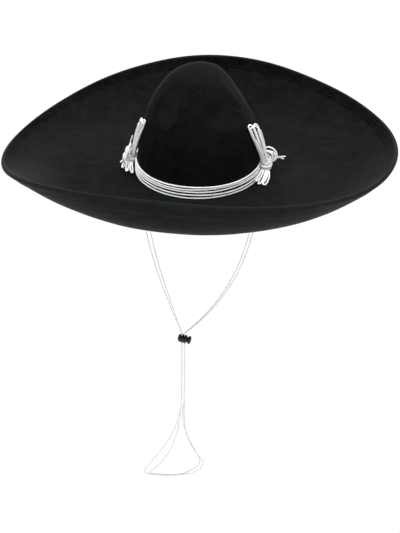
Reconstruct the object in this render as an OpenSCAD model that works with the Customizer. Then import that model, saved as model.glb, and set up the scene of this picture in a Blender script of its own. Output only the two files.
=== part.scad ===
// Wide-brimmed felt sombrero with a cord hatband, two side knots and a chin cord
// that runs through a sprung cord lock.
// Millimetres, +Z up, the front towards -Y. The origin is the centre of the head
// opening, on the upper face of the brim.

/* [Brim] */
// Half width of the brim, side to side
brim_half_w = 279.5; // [240:0.5:300]
// Half length of the brim, front to back
brim_half_l = 280.5; // [240:0.5:300]
// Mean height of the rim above the flat part of the brim
rim_lift = 48; // [45:1:65]
// How far the front and back sweep above the mean, and the sides below it
rim_sweep = 21; // [10:0.5:23]
// Extra height of the front, taken from the back
rim_front = 15.5; // [0:0.5:16]
// Extra height of the right side, taken from the left
rim_right = 9; // [0:0.5:10]
// Sharpness of the side lift
rim_peak = 4.5; // [0:0.5:5]
// Turn of the high front and back towards the left front and right back
rim_twist = 2.6; // [0:0.2:3]
// Waver of the rim, three waves round it
rim_waver = 1.8; // [0:0.2:2]
// Squareness of the rim, four waves round it
rim_square = 1.4; // [0:0.2:2]
// Share of the brim's width that lies flat around the crown
flat_share = 0.15; // [0.1:0.01:0.2]
// How late and hard the brim curls up
curl = 3.7; // [3:0.1:6]
// Thickness of the upper felt
top_felt_t = 2.0; // [1:0.1:3]
// Thickness of the stiffening layer
stiffener_t = 1.0; // [0.6:0.1:2]
// Thickness of the lower felt
bottom_felt_t = 1.8; // [1:0.1:3]

/* [Rim] */
// Radius of the shaping wire in the rim
wire_r = 1.1; // [0.8:0.1:1.4]
// Thickness of the binding folded over the rim
binding_t = 0.9; // [0.6:0.1:1.4]
// Radius of the sewing thread
thread_r = 0.35; // [0.25:0.05:0.5]

/* [Crown] */
// Half width of the crown at its base
crown_half_w = 90; // [84:0.5:96]
// Half length of the crown at its base
crown_half_l = 103.5; // [98:0.5:110]
// Height of the crown above the brim
crown_h = 155; // [150:1:175]
// Thickness of the crown felt
crown_t = 2.8; // [2:0.1:3.5]
// Depth of the pinch on the front left
left_pinch = 10; // [0:0.5:12]
// Depth of the softer pinch on the front right
right_pinch = 7; // [0:0.5:10]
// How far the crown's right side is flattened
right_flat = 8.5; // [0:0.5:9]

/* [Inside] */
// Thickness of the crown lining
lining_t = 0.6; // [0.4:0.1:1]
// Height of the sweatband
sweatband_h = 28; // [22:1:28]
// Thickness of the sweatband
sweatband_t = 1.4; // [1:0.1:2]

/* [Cord trim] */
// Number of turns of cord in the hatband
band_turns = 5; // [3:1:5]
// Radius of the trim cord
trim_r = 1.3; // [1:0.05:1.4]
// Radius of each side knot
knot_r = 8; // [6:0.5:9]

/* [Chin cord] */
// Radius of the chin cord
cord_r = 0.9; // [0.8:0.05:1]
// Height of the eyelets the chin cord swings in
eyelet_z = -11; // [-14:0.5:-10]
// Sideways place of the cord lock
lock_x = -22; // [-30:0.5:-15]
// Height of the cord lock
lock_z = -296.5; // [-305:0.5:-285]
// Height at which the straight run below the lock ends
straight_end_z = -413; // [-420:1:-405]
// Height of the foot of the bottom loop
loop_z = -563; // [-570:1:-555]

/* [Cord lock] */
// Outer radius of the lock's body and button
lock_r = 6.6; // [6:0.1:8]
// Travel of the button
press_travel = 1.6; // [1:0.1:1.8]
// Tilt of the lock, button end down
lock_tilt = 12; // [0:1:15]

/* [Hidden] */

// Facets round the brim, the crown and the small rings
brim_n = 54;
crown_n = 40;
ring_n = 48;
// Thin air gap between layers that lie on each other
gap = 0.06;
// Clear space between the head opening's edge and the crown wall in it
opening_gap = 0.5;
brim_t = top_felt_t + stiffener_t + bottom_felt_t + 2 * gap;
// Share of the brim's width at each row of facets, from the crown to the rim
brim_rows = [0.006, flat_share, 0.35, 0.52, 0.66, 0.78, 0.87, 0.94, 1];
binding_row = 0.94;
// Latitude of each row of facets on the crown, in degrees
crown_rows = [0, 12, 24, 34, 44, 52, 60, 67, 74, 81, 86];
// Exponents that turn a latitude into the crown's outline
crown_rise = 1.69;
crown_round = 2.6;
inner_half_w = crown_half_w - crown_t;
inner_half_l = crown_half_l - crown_t;
// The sweatband hangs clear of the narrowing crown
sweatband_half_w = inner_half_w - 3.2;
sweatband_half_l = inner_half_l - 3.2;
lining_gap = 0.6;
lining_foot = 17;
tab_t = 1.2;
tab_x = sweatband_half_w + 0.85;

felt = [0.09, 0.09, 0.10];
dark_felt = [0.06, 0.06, 0.07];
cord_white = [0.88, 0.88, 0.86];
lock_black = [0.05, 0.05, 0.05];

// ---------- helpers ----------

function lerp(a, b, t) = a + (b - a) * t;
function unit(v) = v / norm(v);

// Height of the rim above the flat of the brim, at angle a
function rim_z(a) = rim_lift - rim_sweep * cos(2 * a) - rim_front * sin(a)
    + rim_right * cos(a) + rim_peak * cos(3 * a) + rim_twist * sin(2 * a)
    - rim_waver * sin(3 * a) + rim_square * cos(4 * a);

// Share of the way up the curl, at share t of the brim's width
function curl_share(t) = max(0, (t - flat_share) / (1 - flat_share));

// Outward run of the brim's width at angle a
function brim_run(a) =
    [(brim_half_w - crown_half_w) * cos(a), (brim_half_l - crown_half_l) * sin(a)];

// Slope of the brim at angle a and share t of its width
function brim_slope(a, t) =
    rim_z(a) * curl * pow(curl_share(t), curl - 1) / (1 - flat_share) / norm(brim_run(a));

function brim_outward(a) = let (u = unit(brim_run(a))) [u[0], u[1], 0];
function brim_normal(a, t) =
    let (s = brim_slope(a, t)) unit(-s * brim_outward(a) + [0, 0, 1]);
function brim_along(a, t) =
    let (s = brim_slope(a, t)) unit(brim_outward(a) + [0, 0, s]);

// Point on the brim, depth d below its upper face
function brim_pt(a, t, d = 0) =
    [crown_half_w * cos(a), crown_half_l * sin(a), 0]
    + t * [brim_run(a)[0], brim_run(a)[1], 0]
    + [0, 0, rim_z(a) * pow(curl_share(t), curl)]
    - d * brim_normal(a, t);

// Width of the crown at height h, as a share of its base
function crown_share(h) = pow(1 - pow(min(max(h, 0) / crown_h, 1), crown_rise), 1 / crown_round);

// A rounded hollow, 1 at its middle and 0 at its edge
function hollow(du, dv) = pow(max(0, 1 - du * du - dv * dv), 1.6);

// Depth of the pinches at angle a (degrees from the right side) and height h
function pinch(a, h) =
    let (left = a + 126, right = a + 43, side = a - 5)
    left_pinch * hollow(left / (left > 0 ? 13 : 25), (h - 116) / 36)
    + right_pinch * hollow(right / 27, (h - 106) / 34)
    + right_flat * hollow(side / 60, (h - 128) / 55);

// Point on the crown at angle a and latitude f, depth d inside its outer face
function crown_pt(a, f, d = 0) =
    let (h = crown_h * pow(sin(f), 2 / crown_rise),
         share = pow(cos(f), 2 / crown_round),
         p = [crown_half_w * share * cos(a), crown_half_l * share * sin(a), h],
         n = unit([p[0] / pow(crown_half_w, 2), p[1] / pow(crown_half_l, 2),
                   h / pow(crown_h, 2)]))
    p - (d + pinch(a, h)) * n;

// Angles, from -180 to just under 180, in n steps
function turn(n) = [for (i = [0:n - 1]) -180 + 360 * i / n];

// Two triangles over each cell between row i and row j of m points. From point
// turned on, a cell is split along its other diagonal, so that facets of layers
// that lie on each other run the same way.
function cells(i, j, m, turned = 1000) = [for (k = [0:m - 1]) let (n = (k + 1) % m)
    each k < turned
        ? [[i * m + k, j * m + k, j * m + n], [i * m + k, j * m + n, i * m + n]]
        : [[i * m + k, j * m + k, i * m + n], [j * m + k, j * m + n, i * m + n]]];

// Solid ring through a closed row of cross-sections
module ring(sections, turned = 1000) {
    n = len(sections);
    m = len(sections[0]);
    polyhedron([for (s = sections) each s],
        [for (i = [0:n - 1]) each cells(i, (i + 1) % n, m, turned)]);
}

// Solid through a row of cross-sections, closed by a flat cap at each end
module loft(sections) {
    n = len(sections);
    m = len(sections[0]);
    polyhedron([for (s = sections) each s], concat(
        [for (i = [0:n - 2]) each cells(i, i + 1, m)],
        [[for (k = [0:m - 1]) k]],
        [[for (k = [m - 1:-1:0]) (n - 1) * m + k]]));
}

// Oval of points at height z
function oval(half_w, half_l, z, n) = [for (a = turn(n)) [half_w * cos(a), half_l * sin(a), z]];

// Direction of a path of points at point i
function path_dir(path, i) =
    unit(path[min(i + 1, len(path) - 1)] - path[max(i - 1, 0)]);

// Cord of radius r along a path; side is a direction the path never follows
module cord(path, r, side, n = 5) {
    loft([for (i = [0:len(path) - 1])
        let (d = path_dir(path, i), u = unit(cross(side, d)), v = cross(d, u))
        [for (k = [0:n - 1]) path[i] + r * (cos(360 * k / n) * u + sin(360 * k / n) * v)]]);
}

// Point at share t along a cubic curve
function bezier(p, t) = pow(1 - t, 3) * p[0] + 3 * t * pow(1 - t, 2) * p[1]
    + 3 * t * t * (1 - t) * p[2] + pow(t, 3) * p[3];

// Points along a cubic curve, without its last one
function curve(p, n) = [for (i = [0:n - 1]) bezier(p, i / n)];

// Ring of thread round an oval at height z
module oval_thread(half_w, half_l, z, r, n = ring_n, sides = 4) {
    ring([for (a = turn(n)) [for (k = [0:sides - 1])
        let (c = r * cos(360 * k / sides), s = r * sin(360 * k / sides))
        [(half_w + c) * cos(a), (half_l + c) * sin(a), z + s]]]);
}

// ---------- brim ----------

// One layer of the brim between two depths
module brim_layer(d0, d1) {
    difference() {
        ring([for (a = turn(brim_n)) concat(
            [for (t = brim_rows) brim_pt(a, t, d0)],
            [for (i = [len(brim_rows) - 1:-1:0]) brim_pt(a, brim_rows[i], d1)])],
            turned = len(brim_rows));
        head_opening();
    }
}

// The oval hole in the brim that the crown wall passes through
module head_opening() {
    translate([0, 0, -2 * brim_t])
        linear_extrude(height = 4 * brim_t)
            polygon([for (p = oval(crown_half_w + opening_gap + 1, crown_half_l + opening_gap + 1,
                0, 2 * crown_n)) [p[0], p[1]]]);
}

module brim_top() {
    color(felt) brim_layer(0, top_felt_t);
}

module brim_stiffener() {
    color("dimgray") brim_layer(top_felt_t + gap, top_felt_t + gap + stiffener_t);
}

module brim_bottom() {
    color(felt) brim_layer(top_felt_t + stiffener_t + 2 * gap, brim_t);
}

// Point near the rim's edge, u beyond the edge and w above the brim's middle
function rim_pt(a, u, w) =
    brim_pt(a, 1, brim_t / 2 - w) + u * brim_along(a, 1);

module rim_wire() {
    u0 = wire_r + 0.3;
    color("silver")
        ring([for (a = turn(brim_n)) [for (k = [0:4])
            rim_pt(a, u0 + wire_r * cos(72 * k), wire_r * sin(72 * k))]]);
}

// Folded strip that wraps the edge and the wire
module rim_binding() {
    half = brim_t / 2;
    reach = 2 * wire_r + 0.6;
    color(dark_felt)
        ring([for (a = turn(brim_n)) [
            brim_pt(a, binding_row, -gap),
            rim_pt(a, 0, half + gap),
            rim_pt(a, reach, wire_r + 0.3),
            rim_pt(a, reach, -wire_r - 0.3),
            rim_pt(a, 0, -half - gap),
            brim_pt(a, binding_row, brim_t + gap),
            brim_pt(a, binding_row, brim_t + gap + binding_t),
            rim_pt(a, 0, -half - gap - binding_t),
            rim_pt(a, reach + 0.6 * binding_t, -wire_r - binding_t),
            rim_pt(a, reach + binding_t, 0),
            rim_pt(a, reach + 0.6 * binding_t, wire_r + binding_t),
            rim_pt(a, 0, half + gap + binding_t),
            brim_pt(a, binding_row, -gap - binding_t)]],
            turned = 4);
}

// Two lines of thread, one on each face of the binding
module rim_stitching() {
    inset = 0.25;
    lift = gap + binding_t + thread_r + 0.25;
    for (d = [-lift, brim_t + lift])
        color("black")
            ring([for (a = turn(brim_n))
                let (p = lerp(brim_pt(a, binding_row, d), brim_pt(a, 1, d), inset),
                     u = brim_along(a, 1), w = brim_normal(a, 1))
                [for (k = [0:3]) p + thread_r * (cos(90 * k) * u + sin(90 * k) * w)]]);
}

// ---------- crown ----------

// Closed shell between outer and inner rows of ovals, each running up to an apex
module dome(outer, inner, outer_apex, inner_apex) {
    m = len(outer[0]);
    n = len(outer);
    apex = 2 * n * m;
    polyhedron(
        concat([for (s = outer) each s], [for (s = inner) each s], [outer_apex, inner_apex]),
        concat(
            [for (i = [0:n - 2]) each cells(i + 1, i, m)],
            [for (i = [n:2 * n - 2]) each cells(i, i + 1, m, 0)],
            cells(0, n, m),
            [for (k = [0:m - 1]) [apex, (n - 1) * m + k, (n - 1) * m + (k + 1) % m]],
            [for (k = [0:m - 1])
                [apex + 1, (2 * n - 1) * m + (k + 1) % m, (2 * n - 1) * m + k]]));
}

module crown() {
    foot = -brim_t + 0.3;
    color(dark_felt)
        dome(concat([oval(crown_half_w, crown_half_l, foot, crown_n)],
                [for (f = crown_rows) [for (a = turn(crown_n)) crown_pt(a, f)]]),
            concat([oval(inner_half_w, inner_half_l, foot, crown_n)],
                [for (f = crown_rows) [for (a = turn(crown_n)) crown_pt(a, f, crown_t)]]),
            [0, 0, crown_h], [0, 0, crown_h - crown_t]);
}

module crown_lining() {
    first = 12;
    rows = [for (f = crown_rows) if (f >= first) f];
    d0 = crown_t + lining_gap;
    foot = function (d) oval(crown_half_w * crown_share(lining_foot) - d,
        crown_half_l * crown_share(lining_foot) - d, lining_foot, crown_n);
    color("#202024")
        dome(concat([foot(d0)], [for (f = rows) [for (a = turn(crown_n)) crown_pt(a, f, d0)]]),
            concat([foot(d0 + lining_t)],
                [for (f = rows) [for (a = turn(crown_n)) crown_pt(a, f, d0 + lining_t)]]),
            [0, 0, crown_h - d0], [0, 0, crown_h - d0 - lining_t]);
}

// Thread that joins the crown's foot to the brim
module crown_seam_stitching() {
    color("black")
        oval_thread(crown_half_w - crown_t / 2, crown_half_l - crown_t / 2,
            -brim_t + 0.3 - thread_r - 0.05, thread_r);
}

// ---------- sweatband ----------

module sweatband() {
    outer = oval(sweatband_half_w, sweatband_half_l, 0, ring_n);
    inner = oval(sweatband_half_w - sweatband_t, sweatband_half_l - sweatband_t, 0, ring_n);
    color("#2b2622")
        translate([0, 0, -brim_t + 0.4])
            linear_extrude(height = sweatband_h)
                difference() {
                    polygon([for (p = outer) [p[0], p[1]]]);
                    polygon([for (p = inner) [p[0], p[1]]]);
                }
}

module sweatband_stitching() {
    inset = sweatband_t + thread_r + 0.3;
    color("#4a4038")
        oval_thread(sweatband_half_w - inset, sweatband_half_l - inset, 0, thread_r);
}

// ---------- cord trim ----------

// Cord wound round the foot of the crown, one ring for each turn
module hatband_cord() {
    first_z = trim_r + 0.7;
    pitch = 2 * trim_r + 1.3;
    color(cord_white)
        for (i = [0:band_turns - 1])
            let (z = first_z + i * pitch, out = trim_r + 0.35, share = crown_share(z))
            oval_thread(crown_half_w * share + out, crown_half_l * share + out, z, trim_r,
                sides = 5);
}

// Point beside the crown: s round it towards the front, h up, o out from its face
function trim_pt(side, s, h, o) =
    let (turn_deg = s / crown_half_l * 180 / PI,
         a = side > 0 ? -turn_deg : 180 + turn_deg,
         share = crown_share(h))
    [(crown_half_w * share + o) * cos(a), (crown_half_l * share + o) * sin(a), h];

function trim_path(side, pts) = [for (p = pts) trim_pt(side, p[0], p[1], p[2])];

// Height of the knots and how far their middles stand off the crown
knot_h = 14;
knot_out = knot_r + 1.2;

// Cord loop that stands up against the crown: width w, top at height top, leaning lean
module standing_loop(side, w, top, lean, o) {
    foot = knot_h + 6.5;
    straight = top - foot - w;
    up = [for (i = [0:4]) [lean * i / 4 - w / 2, foot + straight * i / 4, o]];
    over = [for (i = [1:6]) let (b = 180 - 180 * i / 7)
        [lean + w / 2 * cos(b), top - w + w * sin(b), o]];
    down = [for (i = [4:-1:0]) [lean * i / 4 + w / 2, foot + straight * i / 4, o]];
    cord(trim_path(side, concat(up, over, down)), trim_r - 0.1, [1, 0, 0]);
}

module standing_loops(side, top, lean) {
    color(cord_white) {
        standing_loop(side, 12, top, lean, 2.2);
        standing_loop(side, 6.4, top - 7, lean * 0.9, 2.2);
        standing_loop(side, 9, top - 3, lean * 0.95, 5);
    }
}

// Loop that curls outward above the knot
module curl_loop(side) {
    r = 9.5;
    middle = [3, knot_h + 15.5, 17];
    color(cord_white)
        cord(trim_path(side, [for (i = [0:16]) let (b = -130 + 320 * i / 16)
            middle + [4 * i / 16, r * sin(b), r * cos(b)]]), trim_r - 0.1, [0, 1, 0]);
}

// The wrapped knot that gathers the trim
module knot(side) {
    wraps = 3;
    wrap_r = knot_r / wraps;
    color(cord_white)
        translate(trim_pt(side, 4, knot_h, knot_out))
            rotate([20, 0, 0])
                rotate_extrude($fn = 48)
                    union() {
                        translate([0, -wraps * wrap_r])
                            square([knot_r - wrap_r, 2 * wraps * wrap_r]);
                        for (i = [0:wraps - 1])
                            translate([knot_r - wrap_r, (2 * i + 1 - wraps) * wrap_r])
                                circle(r = wrap_r, $fn = 24);
                    }
}

// Loops that fan forward and down from the knot onto the brim
module hanging_loops(side) {
    tips = [[27, 3.4, 8.2], [34, 3.2, 11.5], [42, 3, 16.5]];
    for (i = [0:2])
        let (tip = tips[i], start = [9, knot_h - 5, 6.3 + 3.4 * i], w = [0, 0, 1.9])
        color(cord_white)
            cord(trim_path(side, concat(
                curve([start - w, lerp(start, tip, 0.4) + [0, 5, 0] - w, tip - [8, -1, 1.6] - w,
                    tip - w], 7),
                curve([tip - w, tip + [3.5, 0, -1.5], tip + [3.5, 0, 1.5], tip + w], 4),
                curve([tip + w, tip - [8, -1, -1.6] + w, lerp(start, tip, 0.4) + [0, 5, 0] + w,
                    start + w], 7))), trim_r - 0.3, [0, 0, 1]);
}

// The cord's two cut ends
module cord_tails(side, rise) {
    ends = [[2, knot_h + rise, 32], [-3, knot_h + rise - 7, 29]];
    for (i = [0:1])
        let (start = [-1 - 3 * i, knot_h - 1 - 3 * i, knot_out + 5])
        color(cord_white)
            cord(trim_path(side, concat(
                curve([start, start + [0, 3, 6], ends[i] - [0, 3, 8], ends[i]], 6), [ends[i]])),
                trim_r - 0.1, [0, 1, 0]);
}

module left_standing_loops() {
    standing_loops(-1, 76, 17);
}

module right_standing_loops() {
    standing_loops(1, 82, 26);
}

module left_curl_loop() {
    curl_loop(-1);
}

module right_curl_loop() {
    curl_loop(1);
}

module left_knot() {
    knot(-1);
}

module right_knot() {
    knot(1);
}

module left_hanging_loops() {
    hanging_loops(-1);
}

module right_hanging_loops() {
    hanging_loops(1);
}

module left_cord_tails() {
    cord_tails(-1, 5);
}

module right_cord_tails() {
    cord_tails(1, 12);
}

// ---------- chin cord anchors ----------

eyelet_bore_r = cord_r + 0.08;
eyelet_barrel_r = 1.9;
eyelet_flange_r = 3.1;
eyelet_flange_t = 0.5;

// Cloth tab sewn behind the sweatband that carries the eyelet
module cord_tab(side) {
    half_w = 5.5;
    top = 10;
    color("black")
        translate([side * tab_x, 0, 0])
            rotate([0, 90, 0])
                difference() {
                    translate([0, 0, -tab_t / 2])
                        linear_extrude(height = tab_t)
                            union() {
                                translate([-top, -half_w])
                                    square([top - eyelet_z, 2 * half_w]);
                                translate([-eyelet_z, 0])
                                    circle(r = half_w, $fn = 48);
                            }
                    translate([-eyelet_z, 0, -tab_t])
                        cylinder(r = eyelet_barrel_r + 0.05, h = 2 * tab_t, $fn = 48);
                }
}

module eyelet(side) {
    inner = tab_t / 2 + 0.05;
    outer = inner + eyelet_flange_t;
    color("gray")
        translate([side * tab_x, 0, eyelet_z])
            rotate([0, 90, 0])
                difference() {
                    union() {
                        translate([0, 0, -outer])
                            cylinder(r = eyelet_barrel_r, h = 2 * outer, $fn = 48);
                        for (z = [-outer, inner])
                            translate([0, 0, z])
                                cylinder(r = eyelet_flange_r, h = eyelet_flange_t, $fn = 48);
                    }
                    translate([0, 0, -2 * outer])
                        cylinder(r = eyelet_bore_r, h = 4 * outer, $fn = 48);
                }
}

module left_cord_tab() {
    cord_tab(-1);
}

module right_cord_tab() {
    cord_tab(1);
}

module left_eyelet() {
    eyelet(-1);
}

module right_eyelet() {
    eyelet(1);
}

// ---------- chin cord ----------

// Half the gap between the left and right pairs of strands, and between front and back
pair_x = 2.2;
pair_y = 1.0;
strand_out = tab_x + 3.2;
strand_in = tab_x - 2.6;
lock_mouth_z = lock_z + 10;

// Strand from the eyelet at x down to the lock mouth; q is its front or back place
function hanging_strand(x, knee, hip, to_x, q) =
    curve([[x, 0, eyelet_z], [knee[0], 0, knee[1]], [hip[0], q, hip[1]],
        [to_x, q, lock_mouth_z]], 10);

left_x = lock_x - pair_x;
right_x = lock_x + pair_x;

function flip(pts) = [for (i = [len(pts) - 1:-1:0]) pts[i]];

// Outer half of the ring, from the left eyelet to the right one
function outer_half() = concat(
    hanging_strand(-strand_out, [-88, -125], [-50, -222], left_x, pair_y),
    curve([[left_x, pair_y, lock_mouth_z], [left_x, pair_y, lock_z],
        [left_x, pair_y, straight_end_z + 50], [left_x, pair_y, straight_end_z]], 3),
    curve([[left_x, pair_y, straight_end_z], [-30, pair_y, straight_end_z - 70],
        [-60, pair_y, loop_z + 47], [-82, pair_y, loop_z + 12]], 8),
    curve([[-82, pair_y, loop_z + 12], [-88, pair_y, loop_z + 3],
        [-82, pair_y, loop_z], [-74, pair_y, loop_z]], 4),
    curve([[-74, pair_y, loop_z], [-50, pair_y, loop_z - 1], [-18, -pair_y, loop_z + 2],
        [3, -pair_y, loop_z + 17]], 6),
    curve([[3, -pair_y, loop_z + 17], [10, -pair_y, loop_z + 23],
        [14, -pair_y, loop_z + 30], [9, -pair_y, loop_z + 39]], 4),
    curve([[9, -pair_y, loop_z + 39], [-20, -pair_y, loop_z + 77],
        [-20, -pair_y, straight_end_z - 50], [right_x, -pair_y, straight_end_z]], 8),
    curve([[right_x, -pair_y, straight_end_z], [right_x, -pair_y, straight_end_z + 50],
        [right_x, -pair_y, lock_z], [right_x, -pair_y, lock_mouth_z]], 3),
    flip(concat(hanging_strand(strand_out, [90, -120], [58, -214], right_x, -pair_y),
        [[right_x, -pair_y, lock_mouth_z]])));

// Inner half of the ring, from the right eyelet to the left one
function inner_half() = concat(
    hanging_strand(strand_in, [86, -115], [54, -214], right_x, pair_y),
    curve([[right_x, pair_y, lock_mouth_z], [right_x, pair_y, lock_z],
        [right_x, pair_y, straight_end_z + 50], [right_x, pair_y, straight_end_z]], 3),
    curve([[right_x, pair_y, straight_end_z], [-30, pair_y, straight_end_z - 55],
        [-6, pair_y, loop_z + 67], [5, pair_y, loop_z + 39]], 8),
    curve([[5, pair_y, loop_z + 39], [9, pair_y, loop_z + 27], [-3, pair_y, loop_z + 17],
        [-20, pair_y, loop_z + 7]], 4),
    curve([[-20, pair_y, loop_z + 7], [-40, 0, loop_z + 2], [-60, -pair_y, loop_z + 2.5],
        [-72, -pair_y, loop_z + 3]], 6),
    curve([[-72, -pair_y, loop_z + 3], [-79, -pair_y, loop_z + 3.5],
        [-77, -pair_y, loop_z + 7], [-71, -pair_y, loop_z + 11]], 4),
    curve([[-71, -pair_y, loop_z + 11], [-38, -pair_y, loop_z + 42],
        [-27, -pair_y, straight_end_z - 60], [left_x, -pair_y, straight_end_z]], 8),
    curve([[left_x, -pair_y, straight_end_z], [left_x, -pair_y, straight_end_z + 50],
        [left_x, -pair_y, lock_z], [left_x, -pair_y, lock_mouth_z]], 3),
    flip(concat(hanging_strand(-strand_in, [-80, -125], [-46, -214], left_x, -pair_y),
        [[left_x, -pair_y, lock_mouth_z]])));

module chin_cord() {
    color(cord_white)
        union() {
            cord(outer_half(), cord_r - 0.04, [0, 1, 0], 6);
            cord(inner_half(), cord_r - 0.04, [0, 1, 0], 6);
            for (side = [-1, 1])
                translate([side * (strand_in + strand_out) / 2, 0, eyelet_z])
                    rotate([0, 90, 0])
                        cylinder(r = cord_r, h = strand_out - strand_in + 2.2,
                            center = true, $fn = 48);
        }
}

// ---------- cord lock ----------

// Along the lock's own axis, measured from the cords: the body's two ends, the
// button cap's two ends, the stem's end and the chamber's floor
cord_hole_r = norm([pair_x, pair_y]) + cord_r + 0.12;
body_right = cord_hole_r + 1;
cap_left = body_right + press_travel + 0.2;
cap_right = cap_left + 6.4;
// The button's neck runs in a short collar on the body's end
collar = 1.5;
neck_l = 2;
neck_r = lock_r - 1;
slot_left = -pair_x - cord_r - 0.15;
slot_right = pair_x + cord_r + 0.15 + press_travel + 0.3;
stem_end = slot_left - 1.1;
spring_room = 1.5;
chamber_floor = stem_end - press_travel - spring_room;
body_left = chamber_floor - 1.1;
stem_r = 4;
bore_r = stem_r + 0.06;

// Puts a shape drawn along +Z on the lock's own axis
module on_lock_axis() {
    translate([lock_x, 0, lock_z])
        rotate([0, 90 + lock_tilt, 0])
            children();
}

// Upright hole that the four strands pass through
module cord_hole() {
    translate([lock_x, 0, lock_z - 20])
        cylinder(r = cord_hole_r, h = 40, $fn = 48);
}

// Rounded barrel between two places on the lock's axis
module barrel(z0, z1, r, round_left, round_right) {
    rotate_extrude($fn = 64)
        intersection() {
            translate([0, z0])
                square([r, z1 - z0]);
            hull() {
                translate([0, z0])
                    square([r - round_left, 0.1]);
                translate([r - round_left, z0 + round_left])
                    circle(r = round_left, $fn = 32);
                translate([r - round_right, z1 - round_right])
                    circle(r = round_right, $fn = 32);
                translate([0, z1 - 0.1])
                    square([r - round_right, 0.1]);
            }
        }
}

module lock_body() {
    color(lock_black)
        difference() {
            on_lock_axis()
                difference() {
                    barrel(body_left, body_right + collar, lock_r, 5, 0.6);
                    translate([0, 0, chamber_floor])
                        cylinder(r = bore_r, h = 40, $fn = 48);
                    translate([0, 0, body_right])
                        cylinder(r = neck_r + 0.12, h = 40, $fn = 48);
                }
            cord_hole();
        }
}

module lock_button() {
    slot_half = pair_y + cord_r + 0.3;
    color(lock_black)
        difference() {
            on_lock_axis()
                union() {
                    barrel(cap_left + neck_l, cap_right, lock_r, 0.8, 3.4);
                    translate([0, 0, cap_left])
                        cylinder(r = neck_r, h = neck_l + 1, $fn = 48);
                    translate([0, 0, stem_end])
                        cylinder(r = stem_r, h = cap_left - stem_end + 1, $fn = 48);
                }
            translate([lock_x + slot_left, -slot_half, lock_z - 20])
                cube([slot_right - slot_left, 2 * slot_half, 40]);
        }
}

// Coil spring between the chamber's floor and the stem
module lock_spring() {
    coils = 3;
    wire = 0.22;
    r = 2.9;
    steps = 14 * coils;
    length = press_travel + spring_room - 2 * wire - 0.2;
    color("silver")
        on_lock_axis()
            translate([0, 0, chamber_floor + wire + 0.1])
                cord([for (i = [0:steps]) let (b = 360 * coils * i / steps)
                    [r * cos(b), r * sin(b), length * i / steps]], wire, [0, 0, 1], 5);
}

crown();
crown_lining();
brim_top();
brim_stiffener();
brim_bottom();
rim_wire();
rim_binding();
rim_stitching();
crown_seam_stitching();
sweatband();
sweatband_stitching();
hatband_cord();
left_standing_loops();
left_curl_loop();
left_knot();
left_hanging_loops();
left_cord_tails();
right_standing_loops();
right_curl_loop();
right_knot();
right_hanging_loops();
right_cord_tails();
left_cord_tab();
right_cord_tab();
left_eyelet();
right_eyelet();
chin_cord();
lock_body();
lock_button();
lock_spring();
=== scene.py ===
import math

import bpy
import numpy as np
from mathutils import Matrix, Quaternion, Vector


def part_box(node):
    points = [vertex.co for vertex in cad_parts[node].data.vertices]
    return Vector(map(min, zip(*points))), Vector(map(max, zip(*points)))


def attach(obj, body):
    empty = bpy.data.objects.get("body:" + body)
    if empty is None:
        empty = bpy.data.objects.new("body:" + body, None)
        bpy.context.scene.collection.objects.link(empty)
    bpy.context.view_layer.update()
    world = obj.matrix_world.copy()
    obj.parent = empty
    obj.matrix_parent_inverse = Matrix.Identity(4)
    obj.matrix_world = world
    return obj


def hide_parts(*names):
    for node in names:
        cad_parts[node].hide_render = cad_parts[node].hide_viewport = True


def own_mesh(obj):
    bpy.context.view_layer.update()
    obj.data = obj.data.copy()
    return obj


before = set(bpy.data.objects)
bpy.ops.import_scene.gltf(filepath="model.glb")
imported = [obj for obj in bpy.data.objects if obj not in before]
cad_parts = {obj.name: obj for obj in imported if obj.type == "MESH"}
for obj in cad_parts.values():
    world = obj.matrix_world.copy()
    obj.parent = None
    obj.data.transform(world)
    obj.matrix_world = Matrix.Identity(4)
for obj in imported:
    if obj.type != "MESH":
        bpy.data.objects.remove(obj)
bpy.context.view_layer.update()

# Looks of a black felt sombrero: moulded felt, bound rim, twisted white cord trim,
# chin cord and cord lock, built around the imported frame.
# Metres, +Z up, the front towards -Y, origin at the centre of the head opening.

MM = 0.001
TAU = 2 * math.pi
RIGHT, BACK, UP = np.eye(3)

# ---------- driving sizes ----------

# Crown, from the frame: half width, half length and height of its outer face
crown_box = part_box("crown")
CROWN_W = crown_box[1].x
CROWN_L = crown_box[1].y
CROWN_H = crown_box[1].z
CROWN_T = 2.8 * MM
CROWN_RISE = 1.69
CROWN_ROUND = 2.6

# Brim: half width and length at the rim, share that lies flat, power of the curl
BRIM_W = 279.5 * MM
BRIM_L = 280.5 * MM
FLAT_SHARE = 0.15
CURL = 3.7
OPENING_SHARE = 0.0082
GAP = 0.06 * MM
TOP_FELT_T = 2.0 * MM
STIFFENER_T = 1.0 * MM
BOTTOM_FELT_T = 1.8 * MM
BRIM_T = TOP_FELT_T + STIFFENER_T + BOTTOM_FELT_T + 2 * GAP

# Rim: wire, binding and its stitches
WIRE_R = 1.1 * MM
BINDING_T = 0.9 * MM
BINDING_SHARE = 0.94
STITCH_SHARE = 0.955
STITCH_PITCH = 3.6 * MM
THREAD_R = 0.3 * MM

SWEATBAND_T = 1.4 * MM

# Cord trim and chin cord
TRIM_R = 1.3 * MM
TRIM_PITCH = 6.0 * MM
CORD_R = 0.86 * MM
CORD_PITCH = 4.4 * MM
PLIES = 3
KNOT_H = 16.5 * MM

# ---------- mesh helpers ----------


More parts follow.
